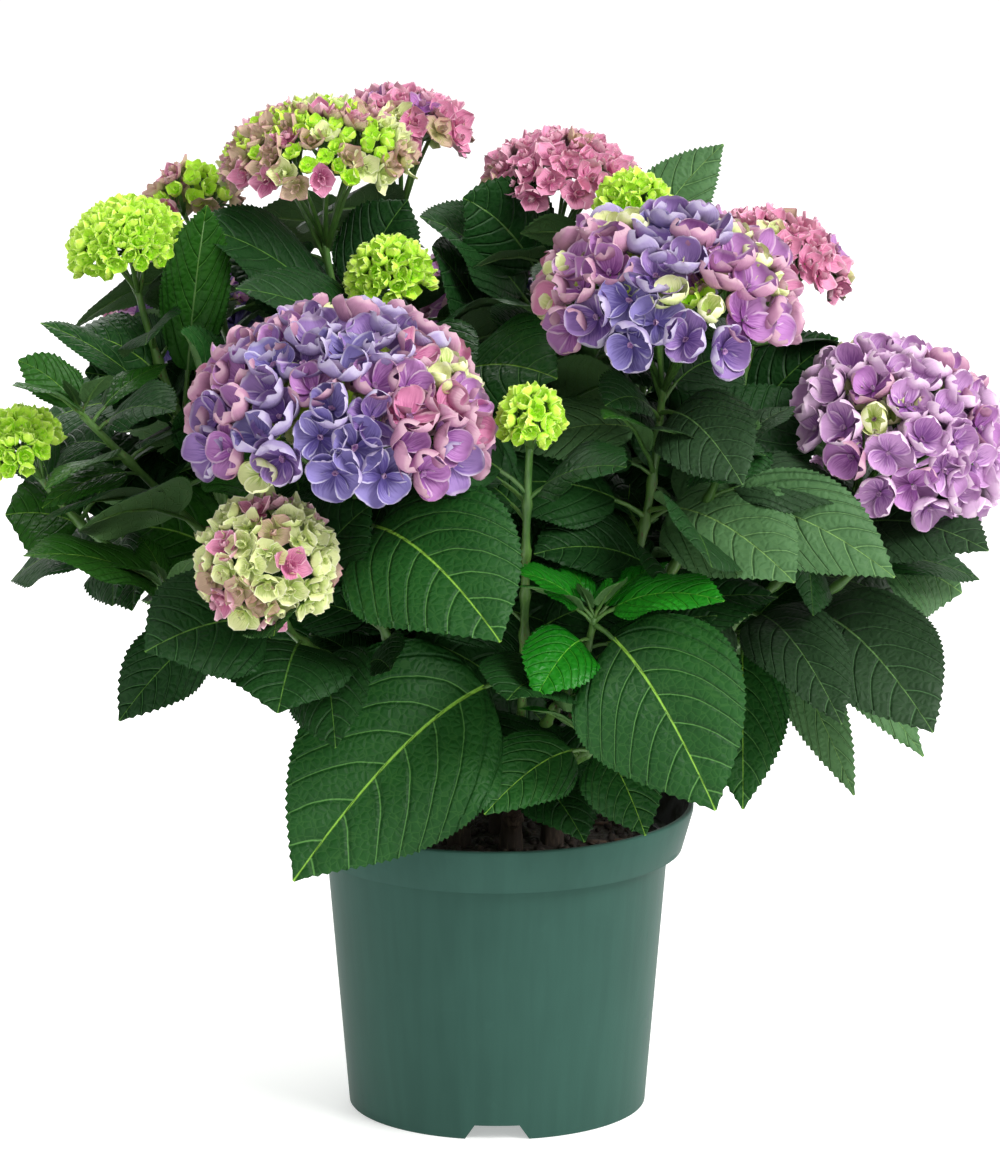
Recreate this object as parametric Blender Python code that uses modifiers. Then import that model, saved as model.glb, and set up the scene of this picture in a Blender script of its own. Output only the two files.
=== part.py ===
"""A potted garden hydrangea: woody canes, leafy shoots and flower heads in a nursery pot.

Metres, +Z up. The plant is laid out about the pot's upright axis. At the end the whole part
is moved so that the middle of its bounding box stands over the origin, on the floor.
"""

import math
import random

import bmesh
import bpy
from mathutils import Vector
from mathutils.bvhtree import BVHTree

UP = Vector((0.0, 0.0, 1.0))
VIEWER_SIDE = Vector((0.0, -1.0, 0.25))

# The air that touching pieces keep between them, the distance at which points are welded,
# and the shortest edge that a joined mass keeps.
GAP = 0.0003
WELD = 0.00001
LEAST_EDGE = 0.00002

# Nursery pot, thin moulded plastic.
POT_HEIGHT = 0.180
RIM_RADIUS = 0.115
BAND_HEIGHT = 0.026
BAND_FOOT_RADIUS = 0.1085
NECK_RADIUS = 0.100
BASE_RADIUS = 0.087
WALL = 0.002
FOOT_RING_WIDTH = 0.005
PLATE_LIFT = 0.009
POT_STEPS = 32
NOTCH_COUNT = 3
NOTCH_HEIGHT = 0.0086
NOTCH_TOP_WIDTH = 0.026
NOTCH_FOOT_WIDTH = 0.040
NOTCH_DEPTH = 0.012
DRAIN_COUNT = 6
DRAIN_SIDES = 10
DRAIN_RADIUS = 0.005
DRAIN_RING_RADIUS = 0.055

# Compost that fills the pot, a little lower at the wall.
COMPOST_TOP = 0.160
COMPOST_EDGE = 0.1545
COMPOST_FLAT_RADIUS = 0.070

# Woody canes. Each flares at its foot, bends outward, and ends in a swollen pruned top.
# The table gives the foot on the compost, then the middle of the top.
CANE_FOOT_RADIUS = 0.0085
CANE_LOW_RADIUS = 0.0067
CANE_RADIUS = 0.0058
CANE_TOP_RADIUS = 0.0072
CANE_FLARE_HEIGHT = 0.008
CANE_TOP_LENGTH = 0.004
CANE_UPTURN = 0.35
CANE_BENDS = (0.35, 0.70)
HANDLE_REACH = 0.38
CANES = {
    "front_left": ((-0.022, -0.026), (-0.044, -0.064, 0.232)),
    "front": ((0.008, -0.034), (0.014, -0.062, 0.206)),
    "front_right": ((0.032, -0.022), (0.062, -0.050, 0.246)),
    "right": ((0.046, 0.008), (0.100, 0.004, 0.236)),
    "back_right": ((0.028, 0.036), (0.064, 0.082, 0.250)),
    "back": ((-0.004, 0.044), (-0.008, 0.096, 0.262)),
    "back_left": ((-0.034, 0.030), (-0.074, 0.062, 0.250)),
    "left": ((-0.047, 0.002), (-0.098, -0.014, 0.240)),
    "middle": ((0.002, 0.006), (-0.004, 0.022, 0.290)),
}

# Green shoots. Each springs from the pruned top of a cane: the middle of its flower head's
# foot circle, or its own tip where it has none, the head's width and height, the way it leans.
SHOOT_RADIUS = 0.0028
SHOOT_TIP_RADIUS = 0.0021
SQUARE_END = 0.003
BOUGH_SHARE = 0.30
BOUGH_BENDS = (0.10, 0.20)
STEM_BENDS = (0.44, 0.58, 0.72, 0.86, 1.0)
SHOOTS = {
    "front_left_1": ("violet", (-0.089, -0.150, 0.437), 0.174, 0.064, (-0.10, -0.36)),
    "front_left_2": ("cream", (-0.128, -0.186, 0.366), 0.084, 0.040, (-0.12, -0.75)),
    "front_left_3": ("leaf", (-0.186, -0.108, 0.330), 0.0, 0.0, (-0.90, -0.30)),
    "front_1": ("lime", (0.019, -0.150, 0.437), 0.038, 0.024, (0.05, -0.30)),
    "front_2": ("leaf", (0.055, -0.130, 0.322), 0.0, 0.0, (0.15, -0.30)),
    "front_3": ("leaf", (0.056, -0.102, 0.242), 0.0, 0.0, (0.40, -0.40)),
    "front_right_1": ("violet", (0.097, -0.070, 0.490), 0.154, 0.054, (0.05, -0.28)),
    "front_right_2": ("leaf", (0.130, -0.078, 0.402), 0.0, 0.0, (0.35, -0.35)),
    "right_1": ("lilac", (0.232, -0.020, 0.402), 0.136, 0.050, (0.62, -0.30)),
    "right_2": ("pink", (0.160, 0.060, 0.484), 0.098, 0.036, (0.26, 0.03)),
    "right_3": ("leaf", (0.214, -0.004, 0.326), 0.0, 0.0, (0.80, -0.20)),
    "back_right_1": ("lilac", (0.216, 0.164, 0.352), 0.122, 0.046, (0.60, 0.44)),
    "back_right_2": ("pink", (0.096, 0.138, 0.468), 0.092, 0.034, (0.15, 0.30)),
    "back_1": ("pink", (-0.060, 0.150, 0.541), 0.098, 0.036, (-0.08, 0.14)),
    "back_2": ("violet", (0.022, 0.222, 0.425), 0.148, 0.054, (0.05, 0.50)),
    "back_3": ("pink", (0.037, 0.100, 0.524), 0.098, 0.036, (0.08, 0.02)),
    "back_left_1": ("tan", (-0.177, 0.100, 0.509), 0.062, 0.024, (-0.20, 0.12)),
    "back_left_2": ("violet", (-0.176, 0.190, 0.418), 0.138, 0.050, (-0.40, 0.45)),
    "left_1": ("lime", (-0.212, 0.000, 0.507), 0.070, 0.030, (-0.22, -0.05)),
    "left_2": ("lime", (-0.270, -0.060, 0.402), 0.052, 0.026, (-0.60, -0.15)),
    "left_3": ("leaf", (-0.236, -0.078, 0.428), 0.0, 0.0, (-0.90, -0.15)),
    "middle_1": ("tan", (-0.103, 0.040, 0.546), 0.120, 0.034, (-0.08, -0.02)),
    "middle_2": ("lime", (-0.061, -0.010, 0.491), 0.052, 0.026, (-0.10, -0.12)),
    "middle_3": ("lime", (0.079, 0.034, 0.525), 0.046, 0.022, (0.12, -0.02)),
}

# Flower heads: a thin domed cap of packed florets on stalks that fan out below it. Reaches,
# studs and the stalks' spread are shares of the head's width, the rest shares of its height.
LARGE_HEAD = 0.09
LARGE_HEAD_FLORETS = (11, 8)
SMALL_HEAD_FLORETS = (8, 6)
FLORET_STUD = 0.060
HEAD_RIM = 0.005
HEAD_HOLLOW = 0.52
HEAD_STALK_REACH = 0.34
STALK_RADIUS = 0.0012
STALK_FOOT_RADIUS = 0.0016
STALK_STEP = 0.003
STALK_TURN = 0.4
STALK_SPREAD = 0.28
STALK_RISE = 0.68

# One leaf: its stations are (share of its length, half width as a share of its width).
PETIOLE_SHARE = 0.20
PETIOLE_WIDTH = 0.0036
LEAF_THICKNESS = 0.024
LEAF_FOLD = 0.14
LEAF_ARCH = 0.24
LEAF_KNEE = 0.40
BROAD_STATIONS = ((0.20, 0.045), (0.34, 0.42), (0.56, 0.50), (0.81, 0.26))
PLAIN_STATIONS = ((0.20, 0.045), (0.44, 0.50), (0.76, 0.32))

# Leaves grow in pairs, each pair a quarter turn round the shoot from the one below. A leaf
# that finds no room tries the sizes and lifts in turn, and is left out where none fits.
PAIR_PLACES = (0.34, 0.45, 0.58, 0.71, 0.85)
PAIR_LENGTHS = (0.148, 0.146, 0.136, 0.120, 0.096)
PAIR_DROOP = (-0.50, -0.40, -0.30, -0.10, 0.05)
PAIR_SWING = 0.35
PAIR_SIZES = (0.88, 1.10)
PAIR_TILT = 0.15
LEAF_BREADTH = 0.58
LEAF_TRIES = ((1.0, 0.0), (1.0, 0.35), (0.84, -0.2), (0.84, 0.25), (0.68, 0.0))
QUARTER = math.radians(90)
LEAF_CLEARANCE = 0.0008

# The space that the paired leaves keep to, and the clear air over each flower head.
CROWN_MIDDLE = Vector((0.0, 0.0, 0.355))
CROWN_REACH = Vector((0.292, 0.270, 0.225))
POT_CLEARANCE = 0.012
HEAD_CLEARANCE = 0.15

# Leaves whose place gives the crown its outline and its face: the shoot, how far up it the
# leaf springs, the leaf's tip, its width, and how far its blade turns from up to the front.
PLACED_LEAVES = (
    ("front_1", 0.32, (-0.115, -0.165, 0.177), 0.098, 0.75),
    ("front_2", 0.97, (0.123, -0.175, 0.221), 0.100, 0.80),
    ("front_2", 0.99, (0.010, -0.152, 0.353), 0.030, 0.45),
    ("front_2", 0.98, (0.127, -0.175, 0.342), 0.044, 0.35),
    ("front_2", 0.90, (0.022, -0.180, 0.288), 0.044, 0.70),
    ("front_3", 0.99, (0.084, -0.155, 0.201), 0.048, 0.75),
    ("front_3", 0.90, (-0.007, -0.150, 0.212), 0.048, 0.65),
    ("front_left_1", 0.80, (0.002, -0.230, 0.332), 0.096, 0.65),
    ("front_left_2", 0.72, (-0.122, -0.205, 0.285), 0.078, 0.70),
    ("front_left_2", 0.80, (-0.196, -0.196, 0.318), 0.078, 0.60),
    ("front_left_2", 0.86, (-0.070, -0.150, 0.392), 0.060, 0.45),
    ("front_left_3", 0.80, (-0.214, -0.132, 0.262), 0.046, 0.70),
    ("front_left_3", 0.94, (-0.266, -0.150, 0.362), 0.062, 0.30),
    ("left_2", 0.80, (-0.282, -0.050, 0.363), 0.070, 0.40),
    ("left_3", 0.80, (-0.258, -0.098, 0.378), 0.030, 0.30),
    ("left_3", 0.98, (-0.272, -0.072, 0.458), 0.028, 0.60),
    ("left_1", 0.62, (-0.262, -0.024, 0.470), 0.046, 0.25),
    ("left_1", 0.70, (-0.166, -0.020, 0.538), 0.040, 0.70),
    ("left_1", 0.48, (-0.176, -0.090, 0.476), 0.060, 0.55),
    ("middle_1", 0.74, (-0.176, -0.010, 0.524), 0.064, 0.45),
    ("middle_1", 0.80, (-0.052, 0.060, 0.526), 0.054, 0.45),
    ("middle_2", 0.70, (-0.148, -0.074, 0.500), 0.060, 0.50),
    ("middle_3", 0.62, (0.010, -0.052, 0.486), 0.070, 0.45),
    ("middle_3", 0.60, (0.132, 0.076, 0.556), 0.050, 0.60),
    ("front_1", 0.86, (0.072, -0.172, 0.418), 0.062, 0.30),
    ("front_right_1", 0.70, (0.104, -0.165, 0.406), 0.050, 0.45),
    ("front_right_2", 0.62, (0.162, -0.122, 0.339), 0.066, 0.45),
    ("front_right_2", 0.52, (0.021, -0.115, 0.355), 0.060, 0.50),
    ("front_right_2", 0.96, (0.136, -0.105, 0.394), 0.052, 0.55),
    ("right_3", 0.40, (0.142, -0.060, 0.191), 0.054, 0.65),
    ("right_1", 0.42, (0.196, -0.120, 0.257), 0.056, 0.60),
    ("right_3", 0.66, (0.249, -0.100, 0.247), 0.080, 0.65),
    ("right_3", 0.48, (0.207, -0.040, 0.194), 0.034, 0.60),
    ("right_3", 0.56, (0.248, -0.020, 0.212), 0.036, 0.50),
    ("right_3", 0.96, (0.272, 0.030, 0.298), 0.068, 0.60),
    ("right_3", 0.92, (0.225, -0.090, 0.335), 0.066, 0.60),
    ("right_1", 0.80, (0.280, -0.085, 0.350), 0.062, 0.50),
)

# Base colour and roughness of each finish. The last six are the kinds of flower head.
FINISHES = {
    "pot": ((0.045, 0.110, 0.085), 0.38),
    "compost": ((0.020, 0.013, 0.009), 0.95),
    "bark": ((0.150, 0.090, 0.050), 0.85),
    "stem": ((0.090, 0.210, 0.040), 0.50),
    "leaf": ((0.022, 0.100, 0.028), 0.45),
    "violet": ((0.200, 0.140, 0.480), 0.60),
    "lilac": ((0.380, 0.190, 0.470), 0.60),
    "pink": ((0.470, 0.150, 0.270), 0.60),
    "cream": ((0.480, 0.560, 0.250), 0.60),
    "tan": ((0.420, 0.330, 0.170), 0.60),
    "lime": ((0.270, 0.500, 0.050), 0.60),
}


def clear_scene():
    for item in list(bpy.data.objects):
        bpy.data.objects.remove(item, do_unlink=True)


def make_finish(name):
    colour, roughness = FINISHES[name]
    finish = bpy.data.materials.new(name)
    finish.use_nodes = True
    shader = finish.node_tree.nodes["Principled BSDF"]
    shader.inputs["Base Color"].default_value = (*colour, 1.0)
    shader.inputs["Roughness"].default_value = roughness
    shader.inputs["Metallic"].default_value = 0.0
    return finish


def add_object(name, mesh, group, finish):
    made = bpy.data.objects.new(name, mesh)
    made.data.materials.append(finish)
    group.objects.link(made)
    return made


def settle(item):
    """Turns an object with modifiers, or a curve, into a plain welded mesh object."""
    bpy.context.view_layer.update()
    graph = bpy.context.evaluated_depsgraph_get()
    mesh = bpy.data.meshes.new_from_object(item.evaluated_get(graph), depsgraph=graph)
    shape = bmesh.new()
    shape.from_mesh(mesh)
    bmesh.ops.remove_doubles(shape, verts=shape.verts, dist=WELD)
    bmesh.ops.recalc_face_normals(shape, faces=shape.faces)
    shape.to_mesh(mesh)
    shape.free()
    name = item.name
    groups = list(item.users_collection)
    old_data = item.data
    matrix = item.matrix_world.copy()
    bpy.data.objects.remove(item, do_unlink=True)
    if isinstance(old_data, bpy.types.Curve):
        bpy.data.curves.remove(old_data)
    made = bpy.data.objects.new(name, mesh)
    made.matrix_world = matrix
    for group in groups:
        group.objects.link(made)
    return made


def turned(name, profile, group, finish):
    """A turned solid: a profile of (radius, height) points swept once round the axis."""
    mesh = bpy.data.meshes.new(name)
    points = [(radius, 0.0, height) for radius, height in profile]
    edges = [(i, i + 1) for i in range(len(points) - 1)]
    mesh.from_pydata(points, edges, [])
    made = add_object(name, mesh, group, finish)
    screw = made.modifiers.new("turn", "SCREW")
    screw.axis = "Z"
    screw.angle = math.tau
    screw.steps = POT_STEPS
    screw.render_steps = POT_STEPS
    screw.use_merge_vertices = True
    screw.merge_threshold = WELD
    return settle(made)


def pot_radius(height):
    """Outer radius of the pot's body, under its band."""
    share = height / (POT_HEIGHT - BAND_HEIGHT)
    return BASE_RADIUS + (NECK_RADIUS - BASE_RADIUS) * share


def make_pot(group, cutters, finish):
    band_foot = POT_HEIGHT - BAND_HEIGHT
    ring_inside = BASE_RADIUS - FOOT_RING_WIDTH
    plate_top = PLATE_LIFT + WALL
    profile = (
        (0.0, plate_top),
        (pot_radius(plate_top) - WALL, plate_top),
        (NECK_RADIUS - WALL, band_foot + WALL),
        (BAND_FOOT_RADIUS - WALL, band_foot + WALL),
        (RIM_RADIUS - WALL * 1.5, POT_HEIGHT),
        (RIM_RADIUS - WALL * 0.5, POT_HEIGHT),
        (RIM_RADIUS, POT_HEIGHT - WALL * 0.5),
        (RIM_RADIUS, POT_HEIGHT - WALL * 1.5),
        (BAND_FOOT_RADIUS, band_foot),
        (NECK_RADIUS, band_foot),
        (BASE_RADIUS, 0.0),
        (ring_inside, 0.0),
        (ring_inside, PLATE_LIFT),
        (0.0, PLATE_LIFT),
    )
    pot = turned("pot", profile, group, finish)
    for i in range(NOTCH_COUNT):
        notch = make_notch(i * math.tau / NOTCH_COUNT, cutters, finish)
        cut_with(pot, notch)
    for i in range(DRAIN_COUNT):
        angle = (i + 0.5) * math.tau / DRAIN_COUNT
        bpy.ops.mesh.primitive_cylinder_add(
            vertices=DRAIN_SIDES, radius=DRAIN_RADIUS, depth=WALL * 4
        )
        drain = bpy.context.object
        drain.name = "drain_cutter"
        drain.location = (
            DRAIN_RING_RADIUS * math.cos(angle),
            DRAIN_RING_RADIUS * math.sin(angle),
            PLATE_LIFT + WALL / 2,
        )
        move_to(drain, cutters)
        cut_with(pot, drain)
    pot = settle(pot)
    for item in list(cutters.objects):
        bpy.data.objects.remove(item, do_unlink=True)
    return pot


def make_notch(angle, cutters, finish):
    """The cutter of one drainage notch through the foot ring, wider at the floor."""
    shape = bmesh.new()
    bmesh.ops.create_cube(shape, size=1.0)
    for spot in shape.verts:
        is_low = spot.co.z < 0.0
        spot.co.x *= NOTCH_FOOT_WIDTH if is_low else NOTCH_TOP_WIDTH
        spot.co.y *= NOTCH_DEPTH * 2
        spot.co.z = -WALL if is_low else NOTCH_HEIGHT
    mesh = bpy.data.meshes.new("notch_cutter")
    shape.to_mesh(mesh)
    shape.free()
    notch = add_object("notch_cutter", mesh, cutters, finish)
    notch.location = (
        BASE_RADIUS * math.sin(angle),
        -BASE_RADIUS * math.cos(angle),
        0.0,
    )
    notch.rotation_euler.z = angle
    return notch


def move_to(item, group):
    for other in list(item.users_collection):
        other.objects.unlink(item)
    group.objects.link(item)


def cut_with(body, cutter):
    cutter.hide_render = True
    cutter.display_type = "WIRE"
    cut = body.modifiers.new(cutter.name, "BOOLEAN")
    cut.operation = "DIFFERENCE"
    cut.solver = "EXACT"
    cut.object = cutter


def make_compost(group, finish):
    plate_top = PLATE_LIFT + WALL
    foot = plate_top + GAP
    profile = (
        (0.0, COMPOST_TOP),
        (COMPOST_FLAT_RADIUS, COMPOST_TOP),
        (pot_radius(COMPOST_EDGE) - WALL - GAP, COMPOST_EDGE),
        (pot_radius(foot) - WALL - GAP, foot),
        (0.0, foot),
    )
    return turned("compost", profile, group, finish)


def tube(name, points, radii, detail, group, finish):
    """A tapering limb through the points, with flat ends. Detail 0, 1, 2 gives 4, 6, 8 sides."""
    curve = bpy.data.curves.new(name, "CURVE")
    curve.dimensions = "3D"
    curve.bevel_depth = 1.0
    curve.bevel_resolution = detail
    curve.use_fill_caps = True
    spline = curve.splines.new("POLY")
    spline.points.add(len(points) - 1)
    for spot, place, radius in zip(spline.points, points, radii):
        spot.co = (*place, 1.0)
        spot.radius = radius
    made = bpy.data.objects.new(name, curve)
    group.objects.link(made)
    made = settle(made)
    made.data.materials.clear()
    made.data.materials.append(finish)
    return made


def bezier(start, start_way, end, end_way, share):
    """A point on a smooth path that leaves start and reaches end along the given directions."""
    reach = HANDLE_REACH * (end - start).length
    first = start + start_way * reach
    last = end - end_way * reach
    rest = 1.0 - share
    return (
        start * rest**3
        + first * (3.0 * rest**2 * share)
        + last * (3.0 * rest * share**2)
        + end * share**3
    )


def cane_points(name):
    """The cane's centre line, upright at its flat foot, and its direction at the pruned top."""
    foot_xy, top = CANES[name]
    foot = Vector((*foot_xy, COMPOST_TOP + GAP))
    top = Vector(top)
    way = (top - foot).normalized()
    way = (way + CANE_UPTURN * UP).normalized()
    lift = foot + UP * CANE_FLARE_HEIGHT
    points = [foot, lift]
    points += [bezier(lift, UP, top, way, share) for share in CANE_BENDS]
    points += [top - way * CANE_TOP_LENGTH, top]
    return points, way


class Shoot:
    """Where one shoot runs: from its cane's top to the foot of its flower head, or to its tip."""

    def __init__(self, name):
        self.name = name
        self.cane = name[:-2]
        self.kind, centre, self.width, self.height, lean = SHOOTS[name]
        self.centre = Vector(centre)
        self.axis = Vector((*lean, 1.0)).normalized()
        points, self.start_way = cane_points(self.cane)
        self.cane_top = points[-1]
        self.end = self.centre - self.axis * (self.width * HEAD_STALK_REACH)

    def heading(self):
        """The angle round the cane's top that the shoot makes for."""
        across, along = head_side(self.start_way)
        toward = self.end - self.cane_top
        return math.atan2(toward.dot(along), toward.dot(across))

    def sit(self, angle):
        """Stands the shoot's foot on the cane's flat top, at this angle from its middle."""
        across, along = head_side(self.start_way)
        aside = across * math.cos(angle) + along * math.sin(angle)
        spread = CANE_TOP_RADIUS - SHOOT_RADIUS - GAP
        self.start = self.cane_top + self.start_way * GAP + aside * spread

    def at(self, share):
        return bezier(self.start, self.start_way, self.end, self.axis, share)

    def way_at(self, share):
        step = 0.01
        return (self.at(min(share + step, 1.0)) - self.at(max(share - step, 0.0))).normalized()

    def radius(self, share):
        return SHOOT_RADIUS + (SHOOT_TIP_RADIUS - SHOOT_RADIUS) * share

    def bough_points(self):
        """The bare foot of the shoot. Both ends start straight, so that they are cut square."""
        points = [self.start, self.start + self.start_way * SQUARE_END]
        points += [self.at(share) for share in BOUGH_BENDS]
        end = self.at(BOUGH_SHARE)
        return points + [end - self.way_at(BOUGH_SHARE) * SQUARE_END, end]

    def stem_points(self):
        """The leafy rest of the shoot, from just clear of the bough's end."""
        way = self.way_at(BOUGH_SHARE)
        first = self.at(BOUGH_SHARE) + way * GAP
        return [first, first + way * SQUARE_END] + [self.at(share) for share in STEM_BENDS]


def seat_shoots(shoots):
    """Spaces the shoots of each cane evenly round its top, in the order they make for."""
    for cane in CANES:
        own = sorted((s for s in shoots if s.cane == cane), key=Shoot.heading)
        step = math.tau / len(own)
        best = None
        for first in range(len(own)):
            turned_by = [s.heading() for s in own[first:]]
            turned_by += [s.heading() + math.tau for s in own[:first]]
            start = sum(h - i * step for i, h in enumerate(turned_by)) / len(own)
            miss = sum(abs(h - i * step - start) for i, h in enumerate(turned_by))
            if best is None or miss < best[0]:
                best = (miss, start, own[first:] + own[:first])
        for i, shoot in enumerate(best[2]):
            shoot.sit(best[1] + i * step)


def leaf_frame(base, tip, looks, share):
    """Centre, side and upper direction of a leaf at a share of its length from the shoot."""
    length = (tip - base).length
    knee = base + (tip - base) * LEAF_KNEE + UP * (LEAF_ARCH * length)
    rest = 1.0 - share
    centre = base * rest**2 + knee * (2.0 * rest * share) + tip * share**2
    way = ((knee - base) * rest + (tip - knee) * share).normalized()
    side = way.cross(looks).normalized()
    return centre, side, side.cross(way).normalized()


def leaf_mesh(base, tip, width, looks, stations, fat=0.0, root_share=0.0):
    """A closed thin leaf: petiole, then a blade that is widest below its middle, then a tip."""
    length = (tip - base).length
    shape = bmesh.new()
    root = shape.verts.new(leaf_frame(base, tip, looks, root_share)[0])
    point = shape.verts.new(tip)
    rows = []
    for share, width_share in stations:
        if share <= root_share:
            continue
        centre, side, upper = leaf_frame(base, tip, looks, share)
        half = max(width * width_share, PETIOLE_WIDTH / 2) + fat
        lift = upper * (LEAF_FOLD * half)
        thick = upper * (LEAF_THICKNESS * length / 2 + fat)
        rows.append(
            (
                shape.verts.new(centre + lift - side * half),
                shape.verts.new(centre + thick),
                shape.verts.new(centre + lift + side * half),
                shape.verts.new(centre - thick),
            )
        )
    for i in range(4):
        j = (i + 1) % 4
        shape.faces.new((root, rows[0][j], rows[0][i]))
        shape.faces.new((point, rows[-1][i], rows[-1][j]))
        for near, far in zip(rows, rows[1:]):
            shape.faces.new((near[i], near[j], far[j]))
            shape.faces.new((near[i], far[j], far[i]))
    bmesh.ops.recalc_face_normals(shape, faces=shape.faces)
    mesh = bpy.data.meshes.new("leaf")
    shape.to_mesh(mesh)
    shape.free()
    return mesh


def head_side(axis):
    """Two directions across a flower head's axis."""
    across = axis.cross(Vector((0.0, 1.0, 0.0))).normalized()
    return across, axis.cross(across).normalized()


def head_cap(shoot, group, finish):
    """The flower head: a thin domed cap, its upper side studded with packed florets."""
    sides, rings = LARGE_HEAD_FLORETS if shoot.width > LARGE_HEAD else SMALL_HEAD_FLORETS
    bpy.ops.mesh.primitive_uv_sphere_add(segments=sides, ring_count=rings, radius=1.0)
    cap = bpy.context.object
    move_to(cap, group)
    across, along = head_side(shoot.axis)
    shape = bmesh.new()
    shape.from_mesh(cap.data)
    upper = [face for face in shape.faces if face.calc_center_median().z > 0.0]
    florets = [face for face in upper if len(face.verts) == 4]
    for spot in shape.verts:
        x, y, z = spot.co
        if z > -WELD:
            height = z * shoot.height
        else:
            height = -z * shoot.height * HEAD_HOLLOW - HEAD_RIM
        spread = shoot.width / 2
        place = shoot.centre + across * (x * spread) + along * (y * spread)
        spot.co = place + shoot.axis * height
    bmesh.ops.recalc_face_normals(shape, faces=shape.faces)
    bmesh.ops.poke(shape, faces=florets, offset=FLORET_STUD * shoot.width, center_mode="MEAN")
    shape.to_mesh(cap.data)
    shape.free()
    cap.data.materials.clear()
    cap.data.materials.append(finish)
    return cap


def head_stalks(shoot, group, finish):
    """Stalks that leave the shoot's end one above the other and fan out into the cap."""
    across, along = head_side(shoot.axis)
    count = 4 if shoot.width > LARGE_HEAD else 3
    stalks = []
    for i in range(count):
        angle = STALK_TURN + i * math.tau / count
        spread = across * math.cos(angle) + along * math.sin(angle)
        foot = shoot.end - shoot.axis * (STALK_STEP * (i + 1))
        top = shoot.centre + spread * (shoot.width * STALK_SPREAD)
        top += shoot.axis * (shoot.height * STALK_RISE)
        radii = (STALK_FOOT_RADIUS, STALK_RADIUS)
        stalks.append(tube("stalk", (foot, top), radii, 0, group, finish))
    return stalks


def tree_of(mesh):
    points = [spot.co.copy() for spot in mesh.vertices]
    faces = [tuple(face.vertices) for face in mesh.polygons]
    return BVHTree.FromPolygons(points, faces)


class Room:
    """What stands where: a piece keeps clear of other masses, and a blade of its own mass too."""

    def __init__(self):
        self.taken = []
        self.own = []

    def add(self, owner, mesh):
        self.taken.append((owner, tree_of(mesh)))

    def add_own(self, owner, mesh):
        self.own.append((owner, tree_of(mesh)))

    def is_clear(self, owner, mesh):
        tree = tree_of(mesh)
        return not any(tree.overlap(other) for name, other in self.taken if name != owner)

    def is_clear_of_own(self, owner, mesh):
        tree = tree_of(mesh)
        return not any(tree.overlap(other) for name, other in self.own if name == owner)


def over_a_head(point, shoots):
    """True where a point would hide a flower head: it stands over the head's face."""
    for shoot in shoots:
        if shoot.width == 0.0:
            continue
        offset = point - shoot.centre
        height = offset.dot(shoot.axis)
        aside = (offset - shoot.axis * height).length
        if 0.0 < height < HEAD_CLEARANCE and aside < shoot.width / 2:
            return True
    return False


def in_crown(point):
    """True inside the crown's outline and clear of the pot."""
    offset = point - CROWN_MIDDLE
    inside = sum((offset[i] / CROWN_REACH[i]) ** 2 for i in range(3)) < 1.0
    return inside and point.z > POT_HEIGHT + POT_CLEARANCE


def try_leaf(shoot, place, tip, width, looks, stations, group, room, finish):
    """Grows a leaf where it stays clear, and gives it up where it doesn't."""
    base = shoot.at(place)
    whole = leaf_mesh(base, tip, width, looks, stations, LEAF_CLEARANCE)
    blade = leaf_mesh(base, tip, width, looks, stations, LEAF_CLEARANCE, PETIOLE_SHARE)
    clear = room.is_clear(shoot.name, whole)
    if stations is PLAIN_STATIONS:
        clear = clear and room.is_clear_of_own(shoot.name, blade)
    if clear:
        room.add(shoot.name, whole)
        room.add_own(shoot.name, blade)
    bpy.data.meshes.remove(whole)
    bpy.data.meshes.remove(blade)
    if not clear:
        return None
    return add_object("leaf", leaf_mesh(base, tip, width, looks, stations), group, finish)


def paired_leaves(shoot, shoots, seed, group, room, finish):
    """The seeded rule: pairs of leaves up the shoot, each smaller or left out for lack of room."""
    dice = random.Random(seed)
    heading = math.atan2(shoot.end.y, shoot.end.x)
    leaves = []
    for i, place in enumerate(PAIR_PLACES):
        base = shoot.at(place)
        outward = Vector((base.x, base.y, 0.0)).normalized()
        looks = (UP + outward) / 2
        for j in range(2):
            angle = heading + QUARTER * (i + 2 * j + 0.5) + dice.uniform(-PAIR_SWING, PAIR_SWING)
            length = PAIR_LENGTHS[i] * dice.uniform(*PAIR_SIZES)
            droop = PAIR_DROOP[i] + dice.uniform(-PAIR_TILT, PAIR_TILT)
            for size, lift in LEAF_TRIES:
                spread = Vector((math.cos(angle), math.sin(angle), droop + lift)).normalized()
                tip = base + spread * (length * size)
                if not in_crown(tip) or over_a_head(tip, shoots):
                    continue
                width = length * size * LEAF_BREADTH
                leaf = try_leaf(
                    shoot, place, tip, width, looks, PLAIN_STATIONS, group, room, finish
                )
                if leaf:
                    leaves.append(leaf)
                    break
    return leaves


def fuse(name, pieces, group):
    """Joins the pieces into one closed body. Where that fails, it goes without one of them,
    the last leaf first."""
    for spare in [None] + pieces[:0:-1]:
        kept = [piece for piece in pieces if piece is not spare]
        mesh = union_of(name, kept)
        if is_sound(mesh):
            break
    for piece in pieces:
        bpy.data.objects.remove(piece, do_unlink=True)
    mesh.name = name
    made = bpy.data.objects.new(name, mesh)
    group.objects.link(made)
    return made


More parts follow.
